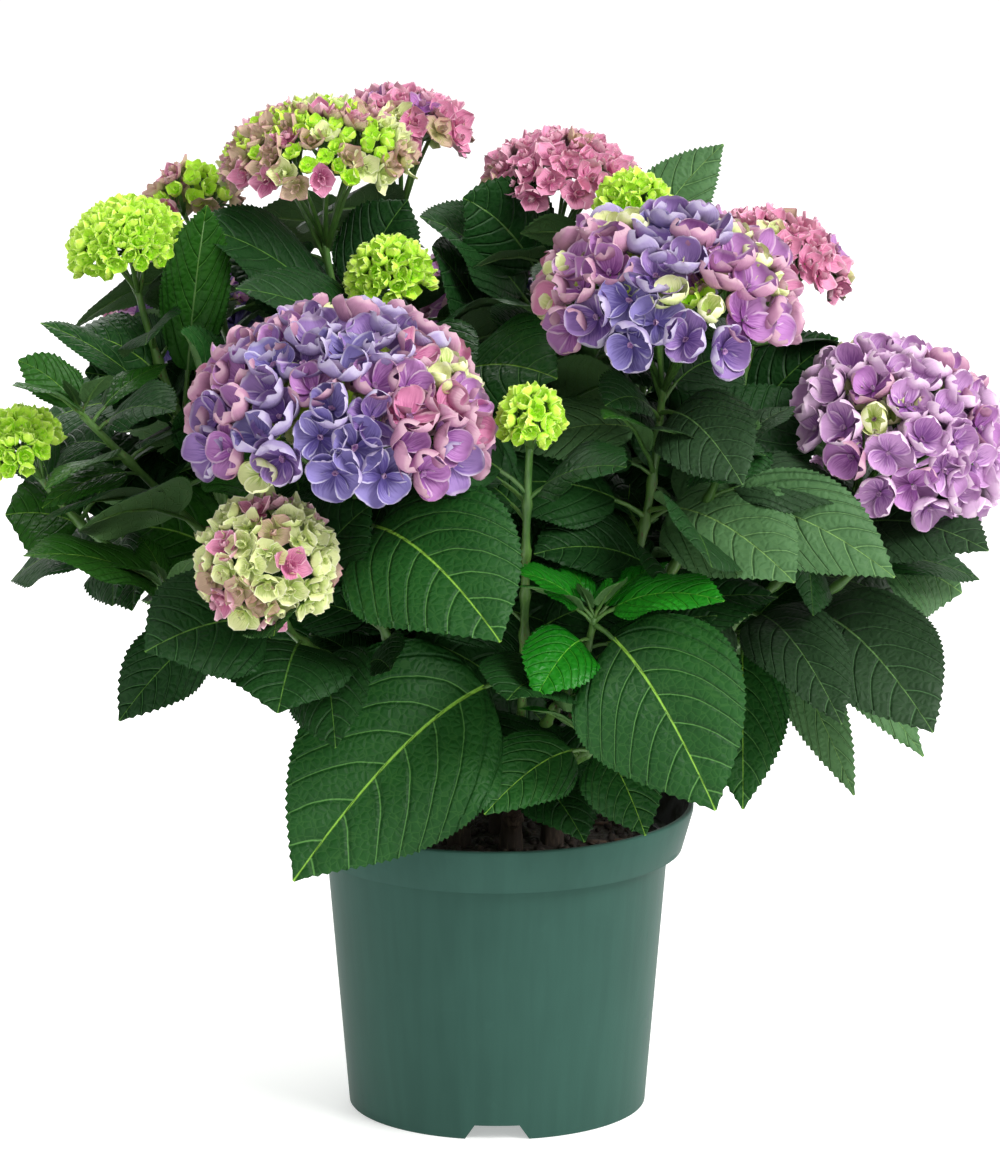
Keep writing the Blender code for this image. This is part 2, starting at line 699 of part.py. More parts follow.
def union_of(name, pieces):
    """The mesh of one Boolean union. EXACT leaves open scraps where thin leaves cross, so
    this one has the MANIFOLD solver."""
    body = pieces[0]
    others = bpy.data.collections.new("pieces of " + name)
    bpy.context.scene.collection.children.link(others)
    for piece in pieces[1:]:
        move_to(piece, others)
    union = body.modifiers.new("union", "BOOLEAN")
    union.operation = "UNION"
    union.operand_type = "COLLECTION"
    union.collection = others
    union.solver = "MANIFOLD"
    bpy.context.view_layer.update()
    graph = bpy.context.evaluated_depsgraph_get()
    mesh = bpy.data.meshes.new_from_object(body.evaluated_get(graph), depsgraph=graph)
    body.modifiers.remove(union)
    for piece in pieces[1:]:
        move_to(piece, body.users_collection[0])
    bpy.data.collections.remove(others)
    keep_largest_body(mesh)
    return mesh


def is_sound(mesh):
    """True for a closed mesh whose edges all join two faces, with no two points together."""
    shape = bmesh.new()
    shape.from_mesh(mesh)
    count = len(shape.verts)
    bmesh.ops.remove_doubles(shape, verts=shape.verts, dist=WELD / 5)
    sound = len(shape.verts) == count and all(len(edge.link_faces) == 2 for edge in shape.edges)
    shape.free()
    return sound


def keep_largest_body(mesh):
    """Welds the mesh and drops every closed shell but the largest: scraps and sealed hollows."""
    shape = bmesh.new()
    shape.from_mesh(mesh)
    bmesh.ops.triangulate(shape, faces=shape.faces)
    bmesh.ops.dissolve_degenerate(shape, edges=shape.edges, dist=LEAST_EDGE)
    bmesh.ops.triangulate(shape, faces=shape.faces)
    left = set(shape.faces)
    shells = []
    while left:
        seed = left.pop()
        shell = {seed}
        queue = [seed]
        while queue:
            for edge in queue.pop().edges:
                for face in edge.link_faces:
                    if face in left:
                        left.remove(face)
                        shell.add(face)
                        queue.append(face)
        shells.append(shell)
    largest = max(shells, key=lambda shell: sum(face.calc_area() for face in shell))
    spare = [face for face in shape.faces if face not in largest]
    bmesh.ops.delete(shape, geom=spare, context="FACES")
    shape.to_mesh(mesh)
    shape.free()


def make_canes(group, room, finish):
    radii = (CANE_FOOT_RADIUS, CANE_LOW_RADIUS, CANE_RADIUS, CANE_RADIUS)
    radii += (CANE_TOP_RADIUS, CANE_TOP_RADIUS)
    for name in CANES:
        points, _ = cane_points(name)
        cane = tube("cane_" + name, points, radii, 2, group, finish)
        room.add("cane_" + name, cane.data)


def make_shoots(group, room, shoots, finish):
    for shoot in shoots:
        points = shoot.bough_points()
        shares = [0.0, 0.0] + list(BOUGH_BENDS) + [BOUGH_SHARE, BOUGH_SHARE]
        radii = [shoot.radius(share) for share in shares]
        bough = tube("shoot_" + shoot.name, points, radii, 0, group, finish)
        room.add("shoot_" + shoot.name, bough.data)


def make_stem(shoot, group, room, finish):
    points = shoot.stem_points()
    shares = [BOUGH_SHARE, BOUGH_SHARE] + list(STEM_BENDS)
    radii = [shoot.radius(share) for share in shares]
    stem = tube("stem", points, radii, 0, group, finish)
    room.add(shoot.name, stem.data)
    return stem


def make_head(shoot, group, room, finishes):
    """A flower head on its stalks."""
    cap = head_cap(shoot, group, finishes[shoot.kind])
    room.add(shoot.name, cap.data)
    room.add_own(shoot.name, cap.data)
    stalks = head_stalks(shoot, group, finishes["stem"])
    for stalk in stalks:
        room.add(shoot.name, stalk.data)
    return [cap] + stalks


def make_foliage(group, work, room, shoots, finishes):
    """Each mass: one stem, its flower head and its leaves, joined into one body."""
    pieces = {}
    for shoot in shoots:
        pieces[shoot.name] = [make_stem(shoot, work, room, finishes["stem"])]
    for shoot in shoots:
        if shoot.width > 0.0:
            pieces[shoot.name] += make_head(shoot, work, room, finishes)
    green = finishes["leaf"]
    by_name = {shoot.name: shoot for shoot in shoots}
    for name, place, tip, width, face in PLACED_LEAVES:
        looks = UP * (1.0 - face) + VIEWER_SIDE * face
        leaf = try_leaf(
            by_name[name], place, Vector(tip), width, looks, BROAD_STATIONS, work, room, green
        )
        if leaf:
            pieces[name].append(leaf)
    for seed, shoot in enumerate(shoots):
        pieces[shoot.name] += paired_leaves(shoot, shoots, seed, work, room, green)
    for shoot in shoots:
        fuse("foliage_" + shoot.name, pieces[shoot.name], group)


def centre_over_origin(group):
    """Moves every mesh so that the part's box is centred over the origin."""
    corners = [spot.co for item in group.objects for spot in item.data.vertices]
    middle_x = (min(c.x for c in corners) + max(c.x for c in corners)) / 2
    middle_y = (min(c.y for c in corners) + max(c.y for c in corners)) / 2
    for item in group.objects:
        for spot in item.data.vertices:
            spot.co.x -= middle_x
            spot.co.y -= middle_y


def build():
    clear_scene()
    scene = bpy.context.scene
    group = bpy.data.collections.new("potted_hydrangea")
    cutters = bpy.data.collections.new("cutters")
    work = bpy.data.collections.new("work")
    for collection in (group, cutters, work):
        scene.collection.children.link(collection)
    finishes = {name: make_finish(name) for name in FINISHES}
    room = Room()
    pot = make_pot(group, cutters, finishes["pot"])
    room.add("pot", pot.data)
    compost = make_compost(group, finishes["compost"])
    room.add("compost", compost.data)
    make_canes(group, room, finishes["bark"])
    shoots = [Shoot(name) for name in SHOOTS]
    seat_shoots(shoots)
    make_shoots(group, room, shoots, finishes["stem"])
    make_foliage(group, work, room, shoots, finishes)
    centre_over_origin(group)
    bpy.data.collections.remove(work)
    bpy.data.collections.remove(cutters)


build()
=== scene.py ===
"""A potted garden hydrangea in full flower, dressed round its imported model.

The sections follow the plant as it is put together: the nursery pot, its compost, the woody
canes, the green shoots, the flower heads and the leaves. The plant is laid out about the
pot's upright axis, by the same rule as its solids, in metres.
"""

import math
import random

import bpy
import numpy as np
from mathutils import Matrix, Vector, noise
from mathutils.bvhtree import BVHTree
from mathutils.kdtree import KDTree


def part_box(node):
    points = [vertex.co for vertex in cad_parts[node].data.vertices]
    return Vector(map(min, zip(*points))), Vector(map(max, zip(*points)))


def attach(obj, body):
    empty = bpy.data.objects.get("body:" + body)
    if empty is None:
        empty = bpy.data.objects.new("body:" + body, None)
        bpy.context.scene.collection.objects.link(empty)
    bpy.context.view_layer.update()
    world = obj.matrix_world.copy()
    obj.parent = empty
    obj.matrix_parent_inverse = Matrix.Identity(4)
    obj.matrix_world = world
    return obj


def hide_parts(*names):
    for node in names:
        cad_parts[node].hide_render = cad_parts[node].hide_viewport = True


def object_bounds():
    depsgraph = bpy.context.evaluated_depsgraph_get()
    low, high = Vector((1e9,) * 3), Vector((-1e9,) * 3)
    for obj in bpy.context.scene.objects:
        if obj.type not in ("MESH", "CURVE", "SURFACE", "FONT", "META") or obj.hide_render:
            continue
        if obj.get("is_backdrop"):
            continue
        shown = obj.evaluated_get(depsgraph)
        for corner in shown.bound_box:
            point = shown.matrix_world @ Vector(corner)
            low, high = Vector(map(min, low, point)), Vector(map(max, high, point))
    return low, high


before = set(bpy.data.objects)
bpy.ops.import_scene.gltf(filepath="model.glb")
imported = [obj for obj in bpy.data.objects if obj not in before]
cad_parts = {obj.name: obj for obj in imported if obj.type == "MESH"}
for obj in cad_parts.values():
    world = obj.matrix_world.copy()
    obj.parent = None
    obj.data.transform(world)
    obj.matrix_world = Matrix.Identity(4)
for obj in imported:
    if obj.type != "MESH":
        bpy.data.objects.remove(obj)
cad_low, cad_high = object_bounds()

# Camera. It stands four and a half metres in front of the pot, above the plant's top, and
# looks a little down through a long lens. All places are given from the pot's axis.
pot_low, pot_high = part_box("pot")
STAND = Vector(((pot_low.x + pot_high.x) / 2, (pot_low.y + pot_high.y) / 2, 0.0))
CAMERA_PLACE = Vector((0.0017, -4.5, 1.3775))
CAMERA_DIP = math.radians(13.34)
CAMERA_LENS = 245.3

bpy.ops.object.camera_add(
    location=STAND + CAMERA_PLACE,
    rotation=(math.radians(90) - CAMERA_DIP, 0.0, 0.0),
)
camera = bpy.context.object
camera.name = "camera"
camera.data.lens = CAMERA_LENS
camera.data.clip_end = 100.0
bpy.context.scene.camera = camera

# Studio. A wide pale floor that glows a little, and a white surround that falls to grey on
# the left. Large soft panels are turned to the plant: a strong one high on the right, a weak
# one in front on the left, and one behind.
FLOOR_SIZE = 60.0
FLOOR_COLOUR = (0.80, 0.80, 0.79)
SURROUND_DARK = (0.16, 0.16, 0.17, 1.0)
SURROUND_BRIGHT = (1.12, 1.12, 1.10, 1.0)
SURROUND_FALL = (-1.0, 0.6)
FLOOR_GLOW = 0.40
CROWN_HEIGHT = 0.35
PANELS = {
    "panel_right": ((1.9, -1.5, 2.3), 1.4, 78.0),
    "panel_left": ((-1.7, -2.1, 1.5), 1.5, 9.0),
    "panel_back": ((-0.4, 1.9, 2.1), 1.6, 40.0),
}

bpy.ops.mesh.primitive_plane_add(size=FLOOR_SIZE)
floor = bpy.context.object
floor.name = "floor"
floor_finish = bpy.data.materials.new("floor_paint")
floor_finish.use_nodes = True
floor_shader = floor_finish.node_tree.nodes["Principled BSDF"]
floor_shader.inputs["Base Color"].default_value = (*FLOOR_COLOUR, 1.0)
floor_shader.inputs["Roughness"].default_value = 0.9
floor_shader.inputs["Specular IOR Level"].default_value = 0.1
floor_shader.inputs["Emission Color"].default_value = (1.0, 1.0, 1.0, 1.0)
floor_shader.inputs["Emission Strength"].default_value = FLOOR_GLOW
floor.data.materials.append(floor_finish)
floor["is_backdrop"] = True

surround = bpy.data.worlds.new("surround")
surround.use_nodes = True
sky = surround.node_tree.nodes
sky_place = sky.new("ShaderNodeTexCoord")
sky_part = sky.new("ShaderNodeSeparateXYZ")
sky_share = sky.new("ShaderNodeMapRange")
sky_share.inputs["From Min"].default_value = SURROUND_FALL[0]
sky_share.inputs["From Max"].default_value = SURROUND_FALL[1]
sky_colour = sky.new("ShaderNodeMix")
sky_colour.data_type = "RGBA"
sky_colour.clamp_result = False
sky_colour.inputs[6].default_value = SURROUND_DARK
sky_colour.inputs[7].default_value = SURROUND_BRIGHT
for source, target in (
    (sky_place.outputs["Generated"], sky_part.inputs[0]),
    (sky_part.outputs["X"], sky_share.inputs["Value"]),
    (sky_share.outputs[0], sky_colour.inputs[0]),
    (sky_colour.outputs[2], sky["Background"].inputs["Color"]),
):
    surround.node_tree.links.new(source, target)
bpy.context.scene.world = surround
bpy.context.scene.view_settings.view_transform = "Standard"

for panel_name, (panel_place, panel_size, panel_power) in PANELS.items():
    aim = Vector((0.0, 0.0, CROWN_HEIGHT)) - Vector(panel_place)
    bpy.ops.object.light_add(
        type="AREA",
        location=STAND + Vector(panel_place),
        rotation=aim.to_track_quat("-Z", "Y").to_euler(),
    )
    panel = bpy.context.object
    panel.name = panel_name
    panel.data.size = panel_size
    panel.data.energy = panel_power


# Nursery pot. Thin moulded plastic in a satin dark green: a tapered body, a plain band under
# the lip, a ring foot with three drainage notches, and a floor with six holes. It is one
# moulding, turned here from its half section, then cut and rounded.
POT_HEIGHT = pot_high.z
RIM_RADIUS = (pot_high.x - pot_low.x) / 2
BAND_HEIGHT = 0.026
BAND_FOOT_RADIUS = 0.1085
NECK_RADIUS = 0.100
BASE_RADIUS = 0.087
WALL = 0.002
FOOT_RING_WIDTH = 0.005
PLATE_LIFT = 0.009
POT_STEPS = 120
SAME_SPOT = 0.00001
POT_EDGE = 0.0006
POT_EDGE_ANGLE = math.radians(25)
POT_SMOOTH_ANGLE = math.radians(30)
INWARD_LIMIT = -0.0001
UPWARD_LIMIT = 0.9
NOTCH_COUNT = 3
NOTCH_HEIGHT = 0.0086
NOTCH_TOP_WIDTH = 0.026
NOTCH_FOOT_WIDTH = 0.040
NOTCH_DEPTH = 0.012
DRAIN_COUNT = 6
DRAIN_RADIUS = 0.005
DRAIN_SIDES = 24
DRAIN_RING_RADIUS = 0.055
POT_COLOUR = (0.031, 0.080, 0.064, 1.0)
# A lighter green: vertical streaks of painted sheen go to it, as do scuffs and random patches.
POT_SHEEN_AND_WEAR_COLOUR = (0.041, 0.104, 0.083, 1.0)
# The inside of the pot is painted near-black: a painted shade.
POT_INSIDE_SHADE_COLOUR = (0.010, 0.014, 0.012, 1.0)
SOIL_STAIN_COLOUR = (0.016, 0.010, 0.007, 1.0)


class Paint:
    """A socket inside a material. A sum on it adds the Math node that it stands for."""

    def __init__(self, tree, socket=None):
        self.tree = tree
        self.socket = socket

    def node(self, kind, settings, inputs, output=0):
        """Adds any node. Its settings are set first, then its sockets' values or links."""
        made = self.tree.nodes.new(kind)
        for name, value in settings.items():
            if name == "stops":
                for stop, (place, colour) in zip(made.color_ramp.elements, value):
                    stop.position = place
                    stop.color = colour
            else:
                setattr(made, name, value)
        for key, value in inputs.items():
            if isinstance(value, Paint):
                self.tree.links.new(value.socket, made.inputs[key])
            else:
                made.inputs[key].default_value = value
        return Paint(self.tree, made.outputs[output])

    def math(self, operation, *values):
        return self.node("ShaderNodeMath", {"operation": operation}, dict(enumerate(values)))

    def __add__(self, other):
        return self.math("ADD", self, other)

    __radd__ = __add__

    def __sub__(self, other):
        return self.math("SUBTRACT", self, other)

    def __rsub__(self, other):
        return self.math("SUBTRACT", other, self)

    def __mul__(self, other):
        return self.math("MULTIPLY", self, other)

    __rmul__ = __mul__

    def __pow__(self, other):
        return self.math("POWER", self, other)

    def __abs__(self):
        return self.math("ABSOLUTE", self)

    def rise(self, low, high):
        """Goes smoothly from 0 at low to 1 at high, or back down where low is the greater."""
        inputs = {"Value": self, "From Min": low, "From Max": high}
        return self.node("ShaderNodeMapRange", {"interpolation_type": "SMOOTHSTEP"}, inputs)

    def between(self, first, second):
        """The colour that this share of the way leads to, from the first to the second."""
        inputs = {0: self, 6: first, 7: second}
        return self.node("ShaderNodeMix", {"data_type": "RGBA"}, inputs, 2)

    def part(self, axis):
        """One coordinate of a vector, by its number."""
        return self.node("ShaderNodeSeparateXYZ", {}, {0: self}, axis)


def new_finish(name):
    """A material with its Principled shader, and the Paint that adds nodes to it."""
    finish = bpy.data.materials.new(name)
    finish.use_nodes = True
    return finish, finish.node_tree.nodes["Principled BSDF"], Paint(finish.node_tree)


def lay_on(paint, shader, colour, roughness=None, height=None, relief=0.0):
    """Links the colour, the roughness and a height field of so many metres to the shader."""
    paint.tree.links.new(colour.socket, shader.inputs["Base Color"])
    if roughness is not None:
        paint.tree.links.new(roughness.socket, shader.inputs["Roughness"])
    if height is not None:
        inputs = {"Height": height, "Distance": relief}
        bump = paint.node("ShaderNodeBump", {}, inputs)
        paint.tree.links.new(bump.socket, shader.inputs["Normal"])


def pot_finish():
    """Satin plastic with a faint moulded grain and a few scuffs."""
    finish, shader, paint = new_finish("pot_green_plastic")
    place = paint.node("ShaderNodeTexCoord", {}, {}, 3)
    cloud = paint.node("ShaderNodeTexNoise", {}, {"Vector": place, "Scale": 9.0, "Detail": 3.0})
    stretch = paint.node("ShaderNodeMapping", {}, {"Vector": place, "Scale": (1.0, 1.0, 0.06)})
    streak = paint.node("ShaderNodeTexNoise", {}, {"Vector": stretch, "Scale": 140.0})
    grain = paint.node("ShaderNodeTexNoise", {}, {"Vector": place, "Scale": 900.0})
    scuff = paint.node(
        "ShaderNodeTexNoise", {}, {"Vector": place, "Scale": 34.0, "Detail": 8.0, "Distortion": 2.0}
    )
    worn = scuff.rise(0.62, 0.74)
    # The vertical streaks are a painted sheen; the cloudy patches vary at random and the scuffs are
    # wear.
    tone = cloud.rise(0.3, 0.7) * 0.5 + streak.rise(0.3, 0.7) * 0.3 + worn * 0.2
    colour = tone.between(POT_COLOUR, POT_SHEEN_AND_WEAR_COLOUR)
    roughness = 0.40 + 0.08 * cloud + 0.10 * worn
    height = grain * 0.5 + streak * 0.5
    lay_on(paint, shader, colour, roughness, height, relief=0.00008)
    shader.inputs["Specular IOR Level"].default_value = 0.05
    return finish


def pot_inside_shade_finish():
    """The inner wall and floor, painted near-black as shade, with patches stained by wet compost.
    """
    finish, shader, paint = new_finish("pot_inside")
    place = paint.node("ShaderNodeTexCoord", {}, {}, 3)
    cloud = paint.node("ShaderNodeTexNoise", {}, {"Vector": place, "Scale": 60.0, "Detail": 6.0})
    stain = cloud.rise(0.42, 0.62)
    # A near-black painted shade, with patches of real compost stain.
    colour = stain.between(POT_INSIDE_SHADE_COLOUR, SOIL_STAIN_COLOUR)
    lay_on(paint, shader, colour, 0.5 + 0.4 * stain, cloud, relief=0.0004)
    return finish


def deselect_all():
    """Leaves edit mode and clears the selection that the last piece left behind."""
    if bpy.context.mode != "OBJECT":
        bpy.ops.object.mode_set(mode="OBJECT")
    bpy.ops.object.select_all(action="DESELECT")


def take_up(piece):
    """Makes a piece the only selected one and the active one."""
    deselect_all()
    piece.select_set(True)
    bpy.context.view_layer.objects.active = piece


def settle_down(piece):
    """Applies the piece's place and its modifiers, in their order."""
    take_up(piece)
    bpy.ops.object.transform_apply(location=True, rotation=True, scale=True)
    for modifier in list(piece.modifiers):
        bpy.ops.object.modifier_apply(modifier=modifier.name)


def close_up(piece):
    """Merges a piece's doubled points, then turns its faces outwards."""
    take_up(piece)
    bpy.ops.object.mode_set(mode="EDIT")
    bpy.ops.mesh.select_all(action="SELECT")
    bpy.ops.mesh.remove_doubles(threshold=SAME_SPOT)
    bpy.ops.mesh.normals_make_consistent(inside=False)
    bpy.ops.object.mode_set(mode="OBJECT")


def cut_from(piece, cutter):
    """Cuts one piece out of another, and throws the cutter away."""
    take_up(piece)
    cut = piece.modifiers.new("cut", "BOOLEAN")
    cut.operation = "DIFFERENCE"
    cut.object = cutter
    bpy.ops.object.modifier_apply(modifier=cut.name)
    bpy.data.objects.remove(cutter, do_unlink=True)


plate_top = PLATE_LIFT + WALL
band_foot = POT_HEIGHT - BAND_HEIGHT
foot_inside = BASE_RADIUS - FOOT_RING_WIDTH
plate_radius = BASE_RADIUS + (NECK_RADIUS - BASE_RADIUS) * plate_top / band_foot - WALL
POT_SECTION = (
    (0.0, plate_top),
    (plate_radius, plate_top),
    (NECK_RADIUS - WALL, band_foot + WALL),
    (BAND_FOOT_RADIUS - WALL, band_foot + WALL),
    (RIM_RADIUS - WALL * 1.4, POT_HEIGHT),
    (RIM_RADIUS - WALL * 0.3, POT_HEIGHT),
    (RIM_RADIUS, POT_HEIGHT - WALL * 0.4),
    (RIM_RADIUS - WALL * 0.05, POT_HEIGHT - WALL * 1.6),
    (BAND_FOOT_RADIUS, band_foot),
    (NECK_RADIUS, band_foot),
    (BASE_RADIUS, 0.0),
    (foot_inside, 0.0),
    (foot_inside, PLATE_LIFT),
    (0.0, PLATE_LIFT),
)

deselect_all()
section_points = [STAND + Vector((radius, 0.0, height)) for radius, height in POT_SECTION]
section_edges = [(i, i + 1) for i in range(len(section_points) - 1)]
pot_mesh = bpy.data.meshes.new("pot_body")
pot_mesh.from_pydata(section_points, section_edges, [])
pot = bpy.data.objects.new("pot_body", pot_mesh)
bpy.context.scene.collection.objects.link(pot)
take_up(pot)
bpy.ops.object.mode_set(mode="EDIT")
bpy.ops.mesh.select_all(action="SELECT")
bpy.ops.mesh.spin(steps=POT_STEPS, angle=math.tau, center=STAND, axis=(0.0, 0.0, 1.0))
close_up(pot)

for i in range(NOTCH_COUNT):
    around = i * math.tau / NOTCH_COUNT
    bpy.ops.mesh.primitive_cube_add(size=1.0)
    notch = bpy.context.object
    for corner in notch.data.vertices:
        is_low = corner.co.z < 0.0
        corner.co.x *= NOTCH_FOOT_WIDTH if is_low else NOTCH_TOP_WIDTH
        corner.co.y *= NOTCH_DEPTH * 2
        corner.co.z = -WALL if is_low else NOTCH_HEIGHT
    notch.location = STAND + BASE_RADIUS * Vector((math.sin(around), -math.cos(around), 0.0))
    notch.rotation_euler.z = around
    cut_from(pot, notch)
for i in range(DRAIN_COUNT):
    around = (i + 0.5) * math.tau / DRAIN_COUNT
    hole_place = DRAIN_RING_RADIUS * Vector((math.cos(around), math.sin(around), 0.0))
    bpy.ops.mesh.primitive_cylinder_add(
        vertices=DRAIN_SIDES,
        radius=DRAIN_RADIUS,
        depth=WALL * 4,
        location=STAND + hole_place + Vector((0.0, 0.0, PLATE_LIFT)),
    )
    cut_from(pot, bpy.context.object)

pot.data.materials.append(pot_finish())
pot.data.materials.append(pot_inside_shade_finish())
for face in pot.data.polygons:
    aside = (face.center - STAND).to_2d()
    is_inner = face.normal.to_2d().dot(aside) < INWARD_LIMIT or face.normal.z > UPWARD_LIMIT
    is_below_lip = face.center.z < POT_HEIGHT - WALL
    face.material_index = int(is_inner and is_below_lip and face.center.z > PLATE_LIFT)
rounding = pot.modifiers.new("rounding", "BEVEL")
rounding.width = POT_EDGE
rounding.segments = 2
rounding.limit_method = "ANGLE"
rounding.angle_limit = POT_EDGE_ANGLE
settle_down(pot)
bpy.ops.object.shade_smooth_by_angle(angle=POT_SMOOTH_ANGLE)
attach(pot, "root")
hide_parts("pot")


# Compost. A dark crumbly fill that stands a little lower at the wall, with clods and chips of
# bark lying loose on it. It is poured in round the canes and settles by itself.
COMPOST_TOP = 0.160
COMPOST_EDGE = 0.1555
COMPOST_FLAT_RADIUS = 0.070
COMPOST_GAP = 0.0003
COMPOST_RINGS = 44
COMPOST_SECTORS = 150
COMPOST_RELIEF = 0.0030
COMPOST_EDGE_CALM = 0.6
CRUMBS_PER_METRE = 160.0
CRUMB_SHARE = 0.45
CLUMPS_PER_METRE = 45.0
CLUMP_SHARE = 0.60
CLOD_COUNT = 620
CLOD_SIZES = (0.0012, 0.0042)
CLOD_DENTS = (0.7, 1.15)
CLOD_SQUASH = (0.6, 1.0)
CLOD_SEED = 11
CLOD_TIP = 0.4
CLOD_SPREAD = 0.95
CLOD_LIFT = 0.25
CHIP_EVERY = 9
CHIP_SHAPE = np.array([2.2, 0.8, 0.35])
COMPOST_COLOUR = (0.017, 0.010, 0.007, 1.0)
COMPOST_DRY_COLOUR = (0.060, 0.036, 0.024, 1.0)
CHIP_COLOUR = (0.120, 0.066, 0.038, 1.0)


def new_piece(name, points, faces, finishes, face_finish=None):
    """A mesh piece from arrays of points and faces, smooth, with its finishes in their slots."""
    mesh = bpy.data.meshes.new(name)
    mesh.from_pydata(points, [], faces)
    piece = bpy.data.objects.new(name, mesh)
    bpy.context.scene.collection.objects.link(piece)
    for finish in finishes:
        mesh.materials.append(finish)
    if face_finish is not None:
        mesh.polygons.foreach_set("material_index", face_finish)
    mesh.polygons.foreach_set("use_smooth", np.ones(len(mesh.polygons), bool))
    return piece


def compost_finish(name, low_colour, high_colour):
    """Moist humus: nearly black where it is wet, brown where crumbs have dried."""
    finish, shader, paint = new_finish(name)
    place = paint.node("ShaderNodeTexCoord", {}, {}, 3)
    crumbs = paint.node("ShaderNodeTexNoise", {}, {"Vector": place, "Scale": 420.0, "Detail": 8.0})
    patches = paint.node("ShaderNodeTexNoise", {}, {"Vector": place, "Scale": 45.0, "Detail": 4.0})
    dry = crumbs.rise(0.45, 0.75) * patches.rise(0.35, 0.65)
    colour = dry.between(low_colour, high_colour)
    lay_on(paint, shader, colour, 0.75 + 0.2 * dry, crumbs, relief=0.0012)
    return finish


def compost_height(radius):
    """Height of the fill at this distance from the axis, before its crumbs."""
    fall = max(0.0, radius - COMPOST_FLAT_RADIUS) / (compost_radius - COMPOST_FLAT_RADIUS)
    return COMPOST_TOP + (COMPOST_EDGE - COMPOST_TOP) * fall


def pot_inner_radius(height):
    """Inner radius of the pot's wall below its band, at this height."""
    return BASE_RADIUS + (NECK_RADIUS - BASE_RADIUS) * height / band_foot - WALL


compost_radius = NECK_RADIUS - WALL - COMPOST_GAP
compost_foot = plate_top + COMPOST_GAP
compost_points = []
for ring in range(COMPOST_RINGS + 1):
    radius = compost_radius * ring / COMPOST_RINGS
    for sector in range(COMPOST_SECTORS):
        around = sector * math.tau / COMPOST_SECTORS
        spot = Vector((radius * math.cos(around), radius * math.sin(around), 0.0))
        crumb = CRUMB_SHARE * noise.fractal(spot * CRUMBS_PER_METRE, 0.8, 2.0, 5)
        clump = CLUMP_SHARE * noise.noise(spot * CLUMPS_PER_METRE)
        calm = 1.0 - COMPOST_EDGE_CALM * (ring / COMPOST_RINGS) ** 8
        spot.z = compost_height(radius) + COMPOST_RELIEF * (crumb + clump) * calm
        compost_points.append(STAND + spot)
foot_radius = pot_inner_radius(compost_foot) - COMPOST_GAP
for sector in range(COMPOST_SECTORS):
    around = sector * math.tau / COMPOST_SECTORS
    spot = Vector((foot_radius * math.cos(around), foot_radius * math.sin(around), compost_foot))
    compost_points.append(STAND + spot)
compost_points.append(STAND + Vector((0.0, 0.0, compost_foot)))
compost_faces = []
for ring in range(COMPOST_RINGS + 1):
    for sector in range(COMPOST_SECTORS):
        beside = (sector + 1) % COMPOST_SECTORS
        near = ring * COMPOST_SECTORS
        far = near + COMPOST_SECTORS
        compost_faces.append((near + sector, far + sector, far + beside, near + beside))
last_ring = (COMPOST_RINGS + 1) * COMPOST_SECTORS
for sector in range(COMPOST_SECTORS):
    beside = (sector + 1) % COMPOST_SECTORS
    compost_faces.append((last_ring + sector, len(compost_points) - 1, last_ring + beside))
moist = compost_finish("compost_moist", COMPOST_COLOUR, COMPOST_DRY_COLOUR)
compost = new_piece("compost_fill", compost_points, compost_faces, [moist])
close_up(compost)
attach(compost, "root")
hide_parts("compost")

deselect_all()
bpy.ops.mesh.primitive_ico_sphere_add(subdivisions=1, radius=1.0)
clod_form = bpy.context.object
clod_points = np.array([spot.co for spot in clod_form.data.vertices])
clod_faces = np.array([face.vertices for face in clod_form.data.polygons])
bpy.data.objects.remove(clod_form, do_unlink=True)
dice = np.random.default_rng(CLOD_SEED)
points, faces, kinds = [], [], []
for i in range(CLOD_COUNT):
    is_chip = i % CHIP_EVERY == 0
    size = dice.uniform(*CLOD_SIZES)
    form = clod_points * dice.uniform(*CLOD_DENTS, (len(clod_points), 1)) * size
    form = form * (CHIP_SHAPE if is_chip else dice.uniform(*CLOD_SQUASH, 3))
    turn = dice.uniform(0.0, math.tau)
    tip = dice.uniform(-CLOD_TIP, CLOD_TIP)
    spin = np.array([
        [math.cos(turn), -math.sin(turn), 0.0],
        [math.sin(turn), math.cos(turn), 0.0],
        [0.0, math.sin(tip), 1.0],
    ])
    radius = compost_radius * CLOD_SPREAD * math.sqrt(dice.uniform())
    around = dice.uniform(0.0, math.tau)
    place = STAND + Vector((radius * math.cos(around), radius * math.sin(around), 0.0))
    place.z = compost_height(radius) + size * CLOD_LIFT
    faces.append(clod_faces + len(clod_points) * i)
    points.append(form @ spin.T + np.array(place))
    kinds.append(np.full(len(clod_faces), int(is_chip)))
chips = compost_finish("bark_chips", COMPOST_DRY_COLOUR, CHIP_COLOUR)
clods = new_piece(
    "compost_clods",
    np.concatenate(points),
    np.concatenate(faces).tolist(),
    [moist, chips],
    np.concatenate(kinds),
)
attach(clods, "root")


# Woody canes. Last years' growth, brown and thin-barked: each stands in the compost on a
# flared foot, has a ring at every old leaf joint, and ends where it was pruned.
CANE_FOOT_RADIUS = 0.0076
CANE_LOW_RADIUS = 0.0056
CANE_RADIUS = 0.0050
CANE_TOP_RADIUS = 0.0072
CANE_FLARE_HEIGHT = 0.008
CANE_UPTURN = 0.35
HANDLE_REACH = 0.38
CANE_SIDES = 26
CANE_RINGS = 64
CANE_SUNK = 0.002
CANE_JOINT = 0.034
CANE_JOINT_SWELL = 0.0011
CANE_JOINT_SHARPNESS = 13.0
CANE_TOP_SHARPNESS = 14.0
CANE_FURROWS = 7
FURROW_DEPTH = 0.00016
FURROW_TWIST = 30.0
BARK_RELIEF = 0.00055
BARK_STRETCH = 22.0
BARK_GRAIN = 1.7
BARK_DRIFT = 9.0
BARK_COLOUR = (0.075, 0.042, 0.026, 1.0)
BARK_PALE_COLOUR = (0.300, 0.200, 0.130, 1.0)
BARK_STAIN_TOP = 0.225
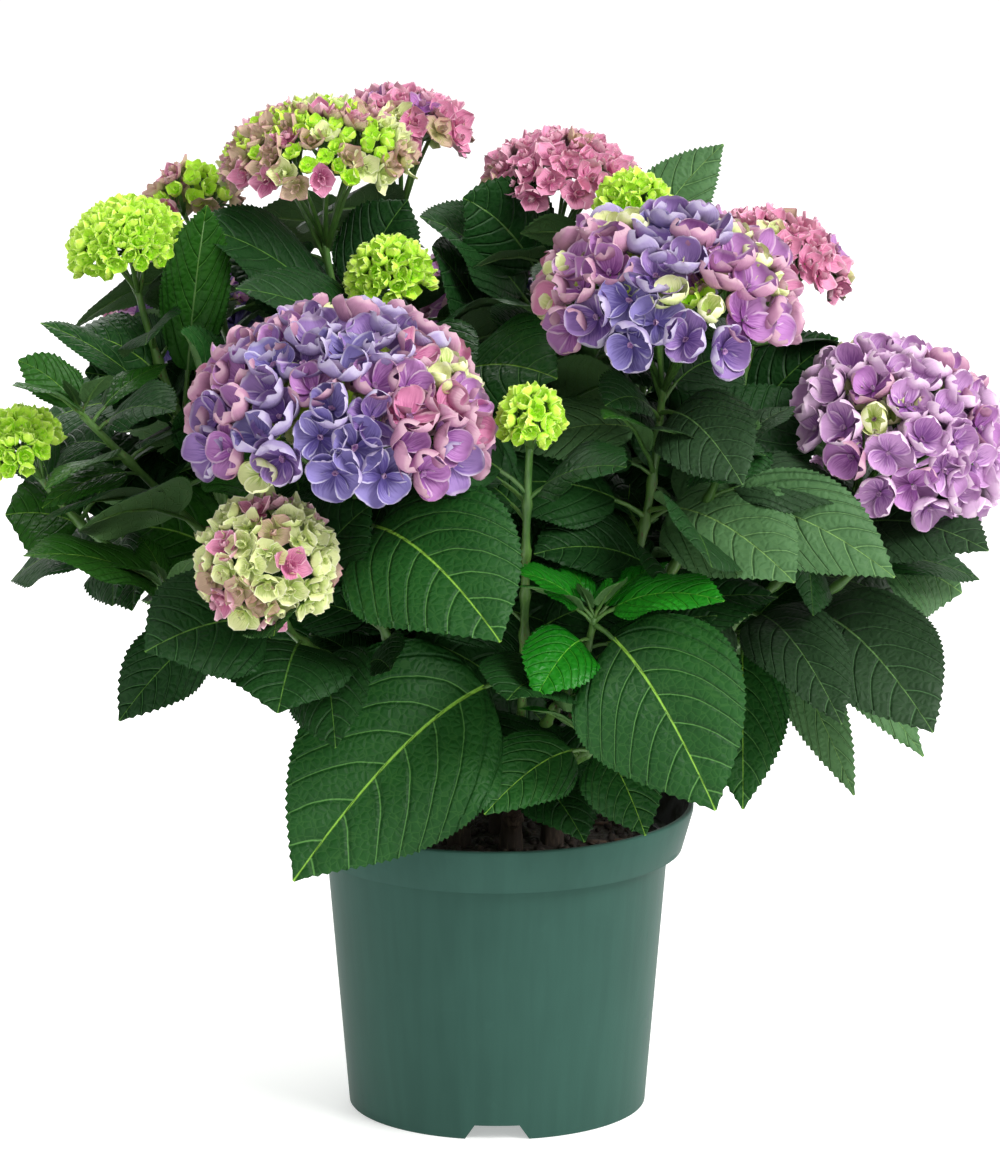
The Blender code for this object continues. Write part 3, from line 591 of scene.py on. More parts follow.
CANES = {
    "front_left": ((-0.022, -0.026), (-0.044, -0.064, 0.232)),
    "front": ((0.008, -0.034), (0.014, -0.062, 0.206)),
    "front_right": ((0.032, -0.022), (0.062, -0.050, 0.246)),
    "right": ((0.046, 0.008), (0.100, 0.004, 0.236)),
    "back_right": ((0.028, 0.036), (0.064, 0.082, 0.250)),
    "back": ((-0.004, 0.044), (-0.008, 0.096, 0.262)),
    "back_left": ((-0.034, 0.030), (-0.074, 0.062, 0.250)),
    "left": ((-0.047, 0.002), (-0.098, -0.014, 0.240)),
    "middle": ((0.002, 0.006), (-0.004, 0.022, 0.290)),
}
UP = Vector((0.0, 0.0, 1.0))


def bezier(start, start_way, end, end_way, share):
    """A point on a smooth path that leaves start and reaches end along the given directions."""
    reach = HANDLE_REACH * (end - start).length
    first = start + start_way * reach
    last = end - end_way * reach
    rest = 1.0 - share
    return (
        start * rest**3
        + first * (3.0 * rest**2 * share)
        + last * (3.0 * rest * share**2)
        + end * share**3
    )


def cane_line(name):
    """The cane's foot, its flare's top, its pruned top, and its direction there."""
    foot_xy, top = CANES[name]
    foot = Vector((*foot_xy, COMPOST_TOP))
    top = Vector(top)
    way = (top - foot).normalized()
    way = (way + CANE_UPTURN * UP).normalized()
    return foot, foot + UP * CANE_FLARE_HEIGHT, top, way


def limb(path, radii, sides, first=0):
    """A closed tapering limb: its points, and its faces numbered from first. Radii may be one
    for each ring, or one for each point."""
    path = np.array(path)
    ways = np.gradient(path, axis=0)
    ways /= np.linalg.norm(ways, axis=1, keepdims=True)
    side = np.cross(ways[0], (0.0, 1.0, 0.0) if abs(ways[0][1]) < 0.8 else (1.0, 0.0, 0.0))
    angles = np.arange(sides) * math.tau / sides
    radii = np.broadcast_to(np.reshape(radii, (len(path), -1)), (len(path), sides))
    rings = []
    for place, way, reach in zip(path, ways, radii):
        side = side - way * side.dot(way)
        side /= np.linalg.norm(side)
        other = np.cross(way, side)
        across = np.outer(np.cos(angles), side) + np.outer(np.sin(angles), other)
        rings.append(place + across * reach[:, None])
    points = np.concatenate(rings + [path[:1], path[-1:]])
    ring = np.arange(len(path) - 1)[:, None] * sides
    turn = np.arange(sides)[None, :]
    beside = (turn + 1) % sides
    quads = np.stack((ring + turn, ring + beside, ring + sides + beside, ring + sides + turn), -1)
    quads = quads.reshape(-1, 4) + first
    start, end = first + len(path) * sides, first + len(path) * sides + 1
    last = start - sides
    near = [(first + (i + 1) % sides, first + i, start) for i in range(sides)]
    far = [(last + i, last + (i + 1) % sides, end) for i in range(sides)]
    return points, quads.tolist() + near + far


def bark_finish():
    """Thin brown bark that splits lengthwise into pale papery strips, dark near the compost."""
    finish, shader, paint = new_finish("cane_bark")
    place = paint.node("ShaderNodeTexCoord", {}, {}, 3)
    stretch = paint.node("ShaderNodeMapping", {}, {"Vector": place, "Scale": (1.0, 1.0, 0.16)})
    grain = {"Vector": stretch, "Scale": 620.0, "Detail": 6.0}
    strips = paint.node("ShaderNodeTexNoise", {}, grain)
    cloud = paint.node("ShaderNodeTexNoise", {}, {"Vector": place, "Scale": 70.0, "Detail": 4.0})
    pale = strips.rise(0.46, 0.64) * cloud.rise(0.30, 0.62)
    colour = pale.between(BARK_COLOUR, BARK_PALE_COLOUR)
    stain = place.part(2).rise(BARK_STAIN_TOP, COMPOST_TOP)
    colour = (0.85 * stain).between(colour, SOIL_STAIN_COLOUR)
    lay_on(paint, shader, colour, 0.72 + 0.2 * strips, strips, relief=0.0006)
    return finish


def cane_radii(path):
    """Bark relief of a cane: rings at the old joints, furrows, and a flared foot."""
    rows = []
    for i, place in enumerate(path):
        share = i / (len(path) - 1)
        along = share * (path[-1] - path[0]).length
        radius = CANE_LOW_RADIUS + (CANE_RADIUS - CANE_LOW_RADIUS) * min(1.0, share * 2.0)
        radius += (CANE_FOOT_RADIUS - CANE_LOW_RADIUS) * math.exp(-along / CANE_FLARE_HEIGHT)
        radius += (CANE_TOP_RADIUS - CANE_RADIUS) * math.exp((share - 1.0) * CANE_TOP_SHARPNESS)
        from_joint = (along / CANE_JOINT) % 1.0 - 0.5
        radius += CANE_JOINT_SWELL * math.exp(-((from_joint * CANE_JOINT_SHARPNESS) ** 2))
        row = []
        for side in range(CANE_SIDES):
            angle = side * math.tau / CANE_SIDES
            spot = Vector((math.cos(angle), math.sin(angle), along * BARK_STRETCH))
            spot = spot * BARK_GRAIN + place * BARK_DRIFT
            furrow = FURROW_DEPTH * math.sin(angle * CANE_FURROWS + along * FURROW_TWIST)
            row.append(radius + furrow + BARK_RELIEF * noise.fractal(spot, 1.0, 2.0, 4))
        rows.append(row)
    return rows


bark = bark_finish()
for name in CANES:
    foot, lift, top, way = cane_line(name)
    path = [foot - UP * CANE_SUNK, foot]
    path += [bezier(lift, UP, top, way, i / CANE_RINGS) for i in range(CANE_RINGS + 1)]
    points, faces = limb([STAND + place for place in path], cane_radii(path), CANE_SIDES)
    cane = new_piece("bark_cane_" + name, points, faces, [bark])
    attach(cane, "root")
    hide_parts("cane_" + name)


# Green shoots. This year's growth: smooth green stems with small brown flecks, swollen at
# each leaf joint. Each springs from the pruned top of a cane and ends in its flower head, or
# in a leaf bud.
SHOOT_RADIUS = 0.0028
SHOOT_TIP_RADIUS = 0.0021
SHOOT_SIDES = 12
SHOOT_RINGS = 60
SHOOT_SUNK = 0.003
SHOOT_FOOT_SWELL = 1.25
JOINT_SWELL = 0.0012
JOINT_LENGTH = 0.0045
BOUGH_SHARE = 0.30
PAIR_PLACES = (0.34, 0.45, 0.58, 0.71, 0.85)
HEAD_STALK_REACH = 0.34
STEM_COLOUR = (0.105, 0.225, 0.042, 1.0)
STEM_DARK_COLOUR = (0.045, 0.125, 0.024, 1.0)
FLECK_COLOUR = (0.120, 0.050, 0.030, 1.0)

# A row gives the shoot's kind, the middle of its head's foot circle or its own tip, the
# head's width and height, and the way it leans.
SHOOTS = {
    "front_left_1": ("violet", (-0.089, -0.150, 0.437), 0.174, 0.064, (-0.10, -0.36)),
    "front_left_2": ("cream", (-0.128, -0.186, 0.366), 0.084, 0.040, (-0.12, -0.75)),
    "front_left_3": ("leaf", (-0.186, -0.108, 0.330), 0.0, 0.0, (-0.90, -0.30)),
    "front_1": ("lime", (0.019, -0.150, 0.437), 0.038, 0.024, (0.05, -0.30)),
    "front_2": ("leaf", (0.055, -0.130, 0.322), 0.0, 0.0, (0.15, -0.30)),
    "front_3": ("leaf", (0.056, -0.102, 0.242), 0.0, 0.0, (0.40, -0.40)),
    "front_right_1": ("violet", (0.097, -0.070, 0.490), 0.154, 0.054, (0.05, -0.28)),
    "front_right_2": ("leaf", (0.130, -0.078, 0.402), 0.0, 0.0, (0.35, -0.35)),
    "right_1": ("lilac", (0.232, -0.020, 0.402), 0.136, 0.050, (0.62, -0.30)),
    "right_2": ("pink", (0.160, 0.060, 0.484), 0.098, 0.036, (0.26, 0.03)),
    "right_3": ("leaf", (0.214, -0.004, 0.326), 0.0, 0.0, (0.80, -0.20)),
    "back_right_1": ("lilac", (0.216, 0.164, 0.352), 0.122, 0.046, (0.60, 0.44)),
    "back_right_2": ("pink", (0.096, 0.138, 0.468), 0.092, 0.034, (0.15, 0.30)),
    "back_1": ("pink", (-0.060, 0.150, 0.541), 0.098, 0.036, (-0.08, 0.14)),
    "back_2": ("violet", (0.022, 0.222, 0.425), 0.148, 0.054, (0.05, 0.50)),
    "back_3": ("pink", (0.037, 0.100, 0.524), 0.098, 0.036, (0.08, 0.02)),
    "back_left_1": ("tan", (-0.177, 0.100, 0.509), 0.062, 0.024, (-0.20, 0.12)),
    "back_left_2": ("violet", (-0.176, 0.190, 0.418), 0.138, 0.050, (-0.40, 0.45)),
    "left_1": ("lime", (-0.212, 0.000, 0.507), 0.070, 0.030, (-0.22, -0.05)),
    "left_2": ("lime", (-0.270, -0.060, 0.402), 0.052, 0.026, (-0.60, -0.15)),
    "left_3": ("leaf", (-0.236, -0.078, 0.428), 0.0, 0.0, (-0.90, -0.15)),
    "middle_1": ("tan", (-0.103, 0.040, 0.546), 0.120, 0.034, (-0.08, -0.02)),
    "middle_2": ("lime", (-0.061, -0.010, 0.491), 0.052, 0.026, (-0.10, -0.12)),
    "middle_3": ("lime", (0.079, 0.034, 0.525), 0.046, 0.022, (0.12, -0.02)),
}


class Shoot:
    """Where one shoot runs, from its cane's top to the foot of its head or its own tip."""

    def __init__(self, name):
        self.name = name
        self.cane = name[:-2]
        self.kind, centre, self.width, self.height, lean = SHOOTS[name]
        self.centre = Vector(centre)
        self.axis = Vector((*lean, 1.0)).normalized()
        _, _, self.cane_top, self.start_way = cane_line(self.cane)
        self.end = self.centre - self.axis * (self.width * HEAD_STALK_REACH)

    def heading(self):
        """The angle round the cane's top that the shoot makes for."""
        across, along = across_of(self.start_way)
        toward = self.end - self.cane_top
        return math.atan2(toward.dot(along), toward.dot(across))

    def sit(self, angle):
        """Stands the shoot's foot on the cane's top, at this angle from its middle."""
        across, along = across_of(self.start_way)
        aside = across * math.cos(angle) + along * math.sin(angle)
        spread = CANE_TOP_RADIUS - SHOOT_RADIUS - COMPOST_GAP
        self.start = self.cane_top + self.start_way * COMPOST_GAP + aside * spread

    def at(self, share):
        """A point of the shoot, at this share of its way up."""
        return bezier(self.start, self.start_way, self.end, self.axis, share)


def across_of(axis):
    """Two directions across an axis."""
    across = axis.cross(Vector((0.0, 1.0, 0.0))).normalized()
    return across, axis.cross(across).normalized()


def seat_shoots(shoots):
    """Spaces the shoots of each cane evenly round its top, in the order they make for."""
    for cane in CANES:
        own = sorted((s for s in shoots if s.cane == cane), key=Shoot.heading)
        step = math.tau / len(own)
        best = None
        for first in range(len(own)):
            turned_by = [s.heading() for s in own[first:]]
            turned_by += [s.heading() + math.tau for s in own[:first]]
            start = sum(h - i * step for i, h in enumerate(turned_by)) / len(own)
            miss = sum(abs(h - i * step - start) for i, h in enumerate(turned_by))
            if best is None or miss < best[0]:
                best = (miss, start, own[first:] + own[:first])
        for i, shoot in enumerate(best[2]):
            shoot.sit(best[1] + i * step)


def stem_finish():
    """Fresh green bark with lengthwise streaks and small brown flecks."""
    finish, shader, paint = new_finish("green_stem")
    place = paint.node("ShaderNodeTexCoord", {}, {}, 3)
    stretch = paint.node("ShaderNodeMapping", {}, {"Vector": place, "Scale": (1.0, 1.0, 0.2)})
    grain = {"Vector": stretch, "Scale": 420.0, "Detail": 3.0}
    streak = paint.node("ShaderNodeTexNoise", {}, grain)
    fleck = paint.node("ShaderNodeTexVoronoi", {}, {"Vector": stretch, "Scale": 520.0})
    cloud = paint.node("ShaderNodeTexNoise", {}, {"Vector": place, "Scale": 24.0})
    green = streak.rise(0.35, 0.65) * 0.5 + cloud.rise(0.35, 0.65) * 0.5
    colour = green.between(STEM_DARK_COLOUR, STEM_COLOUR)
    spot = fleck.rise(0.24, 0.12) * cloud.rise(0.40, 0.60)
    colour = spot.between(colour, FLECK_COLOUR)
    lay_on(paint, shader, colour, 0.42 + 0.2 * spot, streak, relief=0.0002)
    return finish


class Pile:
    """Gathers the points and faces of many like shapes, to be joined into one piece."""

    def __init__(self):
        self.points = []
        self.faces = []
        self.finish = []
        self.count = 0

    def add(self, points, faces, finish=0):
        self.points.append(np.asarray(points))
        self.faces += faces
        self.finish += [finish] * len(faces)
        self.count += len(points)

    def add_limb(self, path, radii, sides, finish=0):
        points, faces = limb(path, radii, sides, self.count)
        self.add(points, faces, finish)

    def make(self, name, finishes):
        points = np.concatenate(self.points) + np.array(STAND)
        return new_piece(name, points, self.faces, finishes, self.finish)


green_stem = stem_finish()
shoots = [Shoot(name) for name in SHOOTS]
seat_shoots(shoots)
greenwood = {shoot.name: Pile() for shoot in shoots}
for shoot in shoots:
    path = [shoot.start - shoot.start_way * SHOOT_SUNK]
    radii = [SHOOT_RADIUS * SHOOT_FOOT_SWELL]
    length = (shoot.end - shoot.start).length
    for i in range(SHOOT_RINGS + 1):
        share = i / SHOOT_RINGS
        radius = SHOOT_RADIUS + (SHOOT_TIP_RADIUS - SHOOT_RADIUS) * share
        for joint in (BOUGH_SHARE,) + PAIR_PLACES:
            from_joint = (share - joint) * length / JOINT_LENGTH
            radius += JOINT_SWELL * math.exp(-(from_joint**2))
        path.append(shoot.at(share))
        radii.append(radius)
    greenwood[shoot.name].add_limb(path, radii, SHOOT_SIDES)


# Flower heads. Each is a dome of florets, packed rim to rim, that five to nine branches carry
# from the shoot's end. A floret is four thin sepals, hollow like spoons, mostly with a paler
# edge and a duller back. Small unopened florets fill the gaps; lime heads are all in bud.
GOLDEN_ANGLE = math.radians(137.508)
BRANCH_RADII = (0.0018, 0.0013, 0.0012)
BRANCH_SIDES = 7
BRANCH_TURN = 0.4
BRANCH_STEP = 0.0015
BRANCH_BOW = 0.03
KNUCKLE_SPREAD = 0.21
KNUCKLE_RISE = 0.10
PEDICEL_RADII = (0.00108, 0.0008, 0.0008)
PEDICEL_SIDES = 4
PEDICEL_BOW = 0.1
SEPAL_REACH = 0.72
SEPAL_THICKNESS = 0.0004
SEPAL_BASE = 0.60
SEPAL_LEAST_GIRTH = 0.10
SEPAL_LENGTHS = (0.88, 1.10)
SEPAL_WIDTHS = (0.88, 1.12)
SEPAL_WRAPS = (0.80, 1.10)
SEPAL_WAVE = 0.13
SEPAL_FRILL = 0.07
WAVE_PACES = (3.1, 6.0)
FRILL_PACE = 8.0
WAVE_STARTS = (0.0, 6.3)
SEPAL_SWING = 0.10
FLORET_SWING = 0.12
FLORET_TILT = 0.16
FLORET_START = (0.3, 0.9, 0.2)
SECOND_PAIR_LEAN = 0.28
FINE_ROWS = (0.0, 0.12, 0.30, 0.50, 0.68, 0.83, 0.94, 0.99)
FINE_COLUMNS = (-1.0, -0.80, -0.55, -0.28, 0.0, 0.28, 0.55, 0.80, 1.0)
MEDIUM_ROWS = (0.0, 0.25, 0.62, 0.98)
MEDIUM_COLUMNS = (-1.0, -0.5, 0.0, 0.5, 1.0)
SMALL_ROWS = (0.0, 0.45, 0.97)
SMALL_COLUMNS = (-1.0, 0.0, 1.0)
SPOT_SHIFT = 0.20
DOME_STEPS = 400
HEAD_SEED = 100
RIM_ANGLE = math.radians(80)
CELL_EDGE = 0.03
CELL_SHARE = (0.44, 0.94)

# Violet heads end level, this far under their middle, and this share of their florets is
# young. They are bluest low in the middle, a little to the left, and go through violet and
# mauve to rose at these stops as a floret faces more aside or upwards.
VIOLET_DROOP = 0.016
YOUNG_SHARE = 0.10
HUE_MIDDLE = -0.10
HUE_ASIDE = 0.90
HUE_UP = 0.42
HUE_SPREAD = 0.17
HUE_STOPS = (0.36, 0.66, 0.94)

# Half-open heads are lime over an oval heart, given by its middle and its two half widths.
HEART_MIDDLE = 0.62
HEART_HALVES = (0.75, 0.50)
HEART_SPREAD = 0.22
HEART_EDGE = 0.75
HEART_BORDER = ("dusk", "cream", "dusk", "pink", "dusk", "cream", "dusk", "pink", "dusk")

# Unopened florets fill the gaps in a large head's upper half. They are tried on a dome a
# little smaller than the open ones', at a share of its spacing. Each needs so much room from
# every open floret and stands so far apart from its like, as shares of that spacing again,
# and stands a little over the head's middle.
GAP_SPACING = 0.40
GAP_ROOM = 0.56
GAP_APART = 0.38
GAP_LIFT = 0.83
GAP_RISE = 0.006
GAP_KINDS = {"violet": ("cream", "lime", "mauve"), "lilac": ("cream", "lilac", "lilac")}

# Colour low in the sepal, over its blade and along its edge. The low colour is partly painted
# shade in the cup, the edge partly a painted rim highlight.
SEPALS = {
    "blue": ((0.105, 0.074, 0.280), (0.275, 0.228, 0.510), (0.60, 0.56, 0.70)),
    "violet": ((0.125, 0.062, 0.260), (0.345, 0.214, 0.490), (0.62, 0.52, 0.66)),
    "mauve": ((0.242, 0.067, 0.278), (0.519, 0.248, 0.544), (0.70, 0.52, 0.66)),
    "rose": ((0.387, 0.090, 0.217), (0.665, 0.266, 0.435), (0.74, 0.50, 0.56)),
    "lilac": ((0.290, 0.115, 0.360), (0.610, 0.355, 0.630), (0.80, 0.62, 0.78)),
    "pink": ((0.480, 0.100, 0.240), (0.780, 0.330, 0.500), (0.90, 0.62, 0.72)),
    "dusk": ((0.360, 0.360, 0.120), (0.640, 0.470, 0.350), (0.66, 0.34, 0.40)),
    "cream": ((0.420, 0.560, 0.120), (0.820, 0.860, 0.460), (0.90, 0.90, 0.68)),
    "lime": ((0.500, 0.920, 0.020), (0.700, 1.000, 0.110), (0.82, 1.00, 0.32)),
    "violet_back": ((0.193, 0.151, 0.326), (0.363, 0.290, 0.508), (0.52, 0.46, 0.62)),
    "rose_back": ((0.290, 0.133, 0.217), (0.483, 0.242, 0.363), (0.60, 0.38, 0.46)),
    "lilac_back": ((0.370, 0.220, 0.390), (0.650, 0.440, 0.640), (0.80, 0.62, 0.76)),
    "pink_back": ((0.500, 0.220, 0.320), (0.790, 0.430, 0.540), (0.88, 0.62, 0.68)),
    "green_back": ((0.380, 0.560, 0.130), (0.740, 0.820, 0.360), (0.86, 0.86, 0.58)),
    "lime_back": ((0.500, 0.920, 0.025), (0.700, 1.000, 0.120), (0.82, 1.00, 0.34)),
}
SEPAL_NAMES = tuple(SEPALS)
BACK_OF = {
    "blue": "violet_back", "violet": "violet_back", "mauve": "rose_back", "rose": "rose_back",
    "lilac": "lilac_back", "pink": "pink_back", "dusk": "dusk", "cream": "green_back",
    "lime": "lime_back",
}

# For each kind of head: a sepal's length, half width, the angle its hollow wraps, its lean
# from flat and how pointed it is; then the florets' spacing and the number of branches; how
# far round the dome the florets go, as the cosine of the angle from its top; and how deep
# they sit in it, as a share of a sepal's length.
HEADS = {
    "violet": (0.0180, 0.0106, 1.08, 0.54, 0.42, 0.0200, 7, -0.38, 0.62),
    "lilac": (0.0168, 0.0096, 1.08, 0.56, 0.48, 0.0198, 6, -0.30, 0.40),
    "pink": (0.0126, 0.0065, 0.85, 0.42, 0.74, 0.0132, 9, 0.0, 0.50),
    "cream": (0.0116, 0.0066, 0.90, 0.42, 0.52, 0.0128, 5, -0.38, 0.62),
    "tan": (0.0118, 0.0056, 0.85, 0.56, 0.80, 0.0102, 9, 0.05, -0.25),
    "lime": (0.0084, 0.0044, 1.10, 0.88, 0.70, 0.0072, 5, -0.12, 0.55),
}

# The florets of the other heads: each kind, and the chance up to which it is taken.
HEAD_MIXES = {
    "lilac": (("lilac", 0.80), ("mauve", 0.96), ("cream", 1.0)),
    "pink": (("pink", 0.92), ("mauve", 0.95), ("dusk", 0.97), ("cream", 1.0)),
    "cream": (("cream", 0.70), ("lime", 0.72), ("pink", 0.87), ("dusk", 1.0)),
    "lime": (("lime", 1.0),),
}

# The same five numbers for a floret still closed between the open ones, for one at the heart
# of a half-open head, and for a late one of a large head. A small bud closes the middle of
# each floret: its size is a share of the floret's own.
UNOPENED = (0.0110, 0.0062, 1.20, 0.85, 0.50)
HEART = (0.0080, 0.0041, 1.10, 0.80, 0.65)
YOUNG_FLORET = (0.0126, 0.0078, 1.10, 0.72, 0.50)
BUTTON_SHARE = {"violet": 0.16, "lilac": 0.18}
SMALL_BUTTON_SHARE = 0.42
BUTTON_SHAPE = (1.30, 1.05, 0.50)
BUTTON_LIFT = 0.45


def sepal_finish(name):
    """A thin sepal: deep low down, with fine veins, a mottled blade and a pale edge."""
    deep_colour, blade_colour, edge_colour = SEPALS[name]
    finish, shader, paint = new_finish("sepal_" + name)
    spot = paint.node("ShaderNodeUVMap", {"uv_map": "pattern"}, {})
    place = paint.node("ShaderNodeTexCoord", {}, {}, 3)
    trait = paint.node("ShaderNodeAttribute", {"attribute_name": "trait"}, {}, 2)
    along = spot.part(1)
    aside = abs(spot.part(0) * 2.0 - 1.0)
    edge = along.math("MAXIMUM", aside, along).rise(0.87, 0.97) * along.rise(0.05, 0.30)
    stretch = paint.node("ShaderNodeMapping", {}, {"Vector": spot, "Scale": (24.0, 2.0, 1.0)})
    veins = paint.node("ShaderNodeTexNoise", {}, {"Vector": stretch, "Scale": 1.0, "Detail": 2.0})
    cloud = paint.node("ShaderNodeTexNoise", {}, {"Vector": place, "Scale": 90.0, "Detail": 3.0})
    # Darker low in the cup: partly the sepal's own colour, partly painted shade.
    depth = along * 0.85 + veins.rise(0.36, 0.64) * 0.30 + cloud * 0.55 + trait * 0.30 - 0.40
    colour = depth.rise(0.10, 0.78).between((*deep_colour, 1.0), (*blade_colour, 1.0))
    # The pale edge: partly the sepal's own margin, partly a painted rim highlight.
    colour = (edge * (0.60 + cloud.rise(0.25, 0.65) * 0.40)).between(colour, (*edge_colour, 1.0))
    lay_on(paint, shader, colour, 0.50 + 0.15 * cloud, veins, relief=0.0003)
    shader.inputs["Specular IOR Level"].default_value = 0.20
    return finish


def two_skins(top, bottom, faces, is_border, spots):
    """A thin closed sheet, an upper and a lower skin that share their border. Gives its
    points, its faces, which of them are below, and where these lie in the pattern and in the
    bake map's cell: the upper skin in its left half, the lower one in its right half."""
    inside = np.flatnonzero(~is_border)
    below = np.arange(len(top))
    below[inside] = len(top) + np.arange(len(inside))
    points = np.concatenate((top, bottom[inside]))
    turned = faces[:, ::-1]
    skins = np.concatenate((faces, below[turned]))
    is_below = np.repeat((0, 1), len(faces))
    pattern = spots[np.concatenate((faces, turned))]
    cell = CELL_EDGE + pattern * CELL_SHARE
    cell[len(faces):, :, 0] += 0.5
    return points, skins, is_below, pattern, cell


def net_faces(rows, columns):
    """The triangles of a net of points, and which of its points are its border. Two corner
    squares are cut the other way, so that no triangle has border points alone."""
    index = np.arange(rows * columns).reshape(rows, columns)
    corners = (index[:-1, :-1], index[:-1, 1:], index[1:, 1:], index[1:, :-1])
    squares = np.stack(corners, -1).reshape(-1, 4)
    for corner in (columns - 2, (rows - 2) * (columns - 1)):
        squares[corner] = np.roll(squares[corner], 1)
    is_border = np.ones((rows, columns), bool)
    is_border[1:-1, 1:-1] = False
    return np.concatenate((squares[:, (0, 1, 2)], squares[:, (0, 2, 3)])), is_border.ravel()


class Sheets:
    """Gathers thin sheets into one piece, each with its own cell of the bake map."""

    def __init__(self):
        self.points, self.faces, self.finish, self.traits = [], [], [], []
        self.pattern, self.cells, self.number = [], [], []
        self.count = 0

    def add(self, sheet, finishes, trait):
        points, faces, is_below, pattern, cell = sheet
        self.faces.append(faces + self.count)
        self.points.append(points)
        self.finish.append(np.array(finishes)[is_below])
        self.traits.append(np.full(len(points), trait))
        self.pattern.append(pattern)
        self.cells.append(cell)
        self.number.append(np.full(len(faces), len(self.number)))
        self.count += len(points)

    def make(self, name, finishes):
        points = np.concatenate(self.points) + np.array(STAND)
        faces = np.concatenate(self.faces)
        piece = new_piece(name, points, faces.tolist(), finishes, np.concatenate(self.finish))
        across = math.ceil(math.sqrt(len(self.number)))
        number = np.concatenate(self.number)
        corner = np.stack((number % across, number // across), -1)[:, None, :]
        cells = (np.concatenate(self.cells) + corner) / across
        for map_name, places in (("pattern", np.concatenate(self.pattern)), ("OFBake", cells)):
            layer = piece.data.uv_layers.new(name=map_name)
            layer.data.foreach_set("uv", places.ravel())
        trait = piece.data.attributes.new("trait", "FLOAT", "POINT")
        trait.data.foreach_set("value", np.concatenate(self.traits))
        piece.data.set_sharp_from_angle(angle=RIM_ANGLE)
        return piece


def sepal_sheet(foot, axis, toward, form, rows, columns, dice):
    """One sepal, half an egg shell that leaves the floret's foot along toward and leans up
    to its axis, with its hollow side inward."""
    length, half, wrap, lean, point = form
    length *= dice.uniform(*SEPAL_LENGTHS)
    half *= dice.uniform(*SEPAL_WIDTHS)
    wrap *= dice.uniform(*SEPAL_WRAPS)
    ahead = math.cos(lean) * toward + math.sin(lean) * axis
    inward = math.cos(lean) * axis - math.sin(lean) * toward
    side = np.cross(ahead, inward)
    row = np.array(rows)[:, None]
    column = np.array(columns)[None, :]
    fullest = SEPAL_BASE / (SEPAL_BASE + point)
    girth = (row / fullest) ** SEPAL_BASE * ((1.0 - row) / (1.0 - fullest)) ** point
    girth = half * np.maximum(girth, SEPAL_LEAST_GIRTH)
    angle = column * wrap
    across = girth * np.sin(angle) / math.sin(wrap)
    depth = girth * (np.cos(angle) - math.cos(wrap)) / math.sin(wrap)
    ripple = column * WAVE_PACES[0] + row * WAVE_PACES[1] + dice.uniform(*WAVE_STARTS)
    wave = SEPAL_WAVE * np.sin(ripple) * row
    flutter = column * FRILL_PACE + dice.uniform(*WAVE_STARTS)
    frill = SEPAL_FRILL * np.sin(flutter) * row**2 * abs(column)
    lift = half * (wave + frill) - depth
    inner = foot + (length * row)[..., None] * ahead + across[..., None] * side
    inner = inner + lift[..., None] * inward
    outward = np.sin(angle)[..., None] * side - np.cos(angle)[..., None] * inward
    outer = inner + outward * SEPAL_THICKNESS
    spots = np.stack(np.broadcast_arrays((column + 1.0) / 2.0, row), -1)
    faces, is_border = net_faces(len(rows), len(columns))
    inner, outer = inner.reshape(-1, 3), outer.reshape(-1, 3)
    return two_skins(inner, outer, faces, is_border, spots.reshape(-1, 2))


def dome_spots(shoot, wide, high, spacing, lowest, dice):
    """Foot and direction of each floret, spaced evenly over a dome round the head's centre,
    from its top down to the lowest angle, given as a cosine."""
    polar = np.linspace(0.0, math.acos(lowest), DOME_STEPS)
    band = np.sin(polar) * np.hypot(wide * np.cos(polar), high * np.sin(polar)) * wide
    area = np.concatenate(([0.0], np.cumsum((band[1:] + band[:-1]) / 2 * np.diff(polar))))
    count = int(area[-1] * math.tau / spacing**2)
    across, along = (np.array(side) for side in across_of(shoot.axis))
    axis = np.array(shoot.axis)
    for i in range(count):
        angle = np.interp((i + 0.5) / count * area[-1], area, polar)
        around = i * GOLDEN_ANGLE + dice.uniform(-SPOT_SHIFT, SPOT_SHIFT) * spacing / wide
        flat = math.cos(around) * across + math.sin(around) * along
        foot = np.array(shoot.centre) + flat * (math.sin(angle) * wide)
        foot = foot + axis * (math.cos(angle) * high)
        way = flat * (math.sin(angle) / wide) + axis * (math.cos(angle) / high)
        way = way / np.linalg.norm(way) + dice.normal(0.0, FLORET_TILT, 3)
        yield foot, way / np.linalg.norm(way)


def floret_kind(shoot, way, dice):
    """The colour of a floret, by chance and from the way it faces."""
    chance = dice.uniform()
    if shoot.kind == "violet":
        if chance < YOUNG_SHARE:
            return "cream"
        turn = abs(way[0] - HUE_MIDDLE) * HUE_ASIDE + max(way[2], 0.0) * HUE_UP
        turn += dice.normal(0.0, HUE_SPREAD)
        return ("blue", "violet", "mauve", "rose")[int(np.digitize(turn, HUE_STOPS))]
    if shoot.kind == "tan":
        across, up = way[0] / HEART_HALVES[0], (way[2] - HEART_MIDDLE) / HEART_HALVES[1]
        from_heart = math.hypot(across, up) + dice.normal(0.0, HEART_SPREAD)
        border = HEART_BORDER[int(chance * len(HEART_BORDER))]
        return "lime" if from_heart < HEART_EDGE else border
    return next(kind for kind, share in HEAD_MIXES[shoot.kind] if chance <= share)


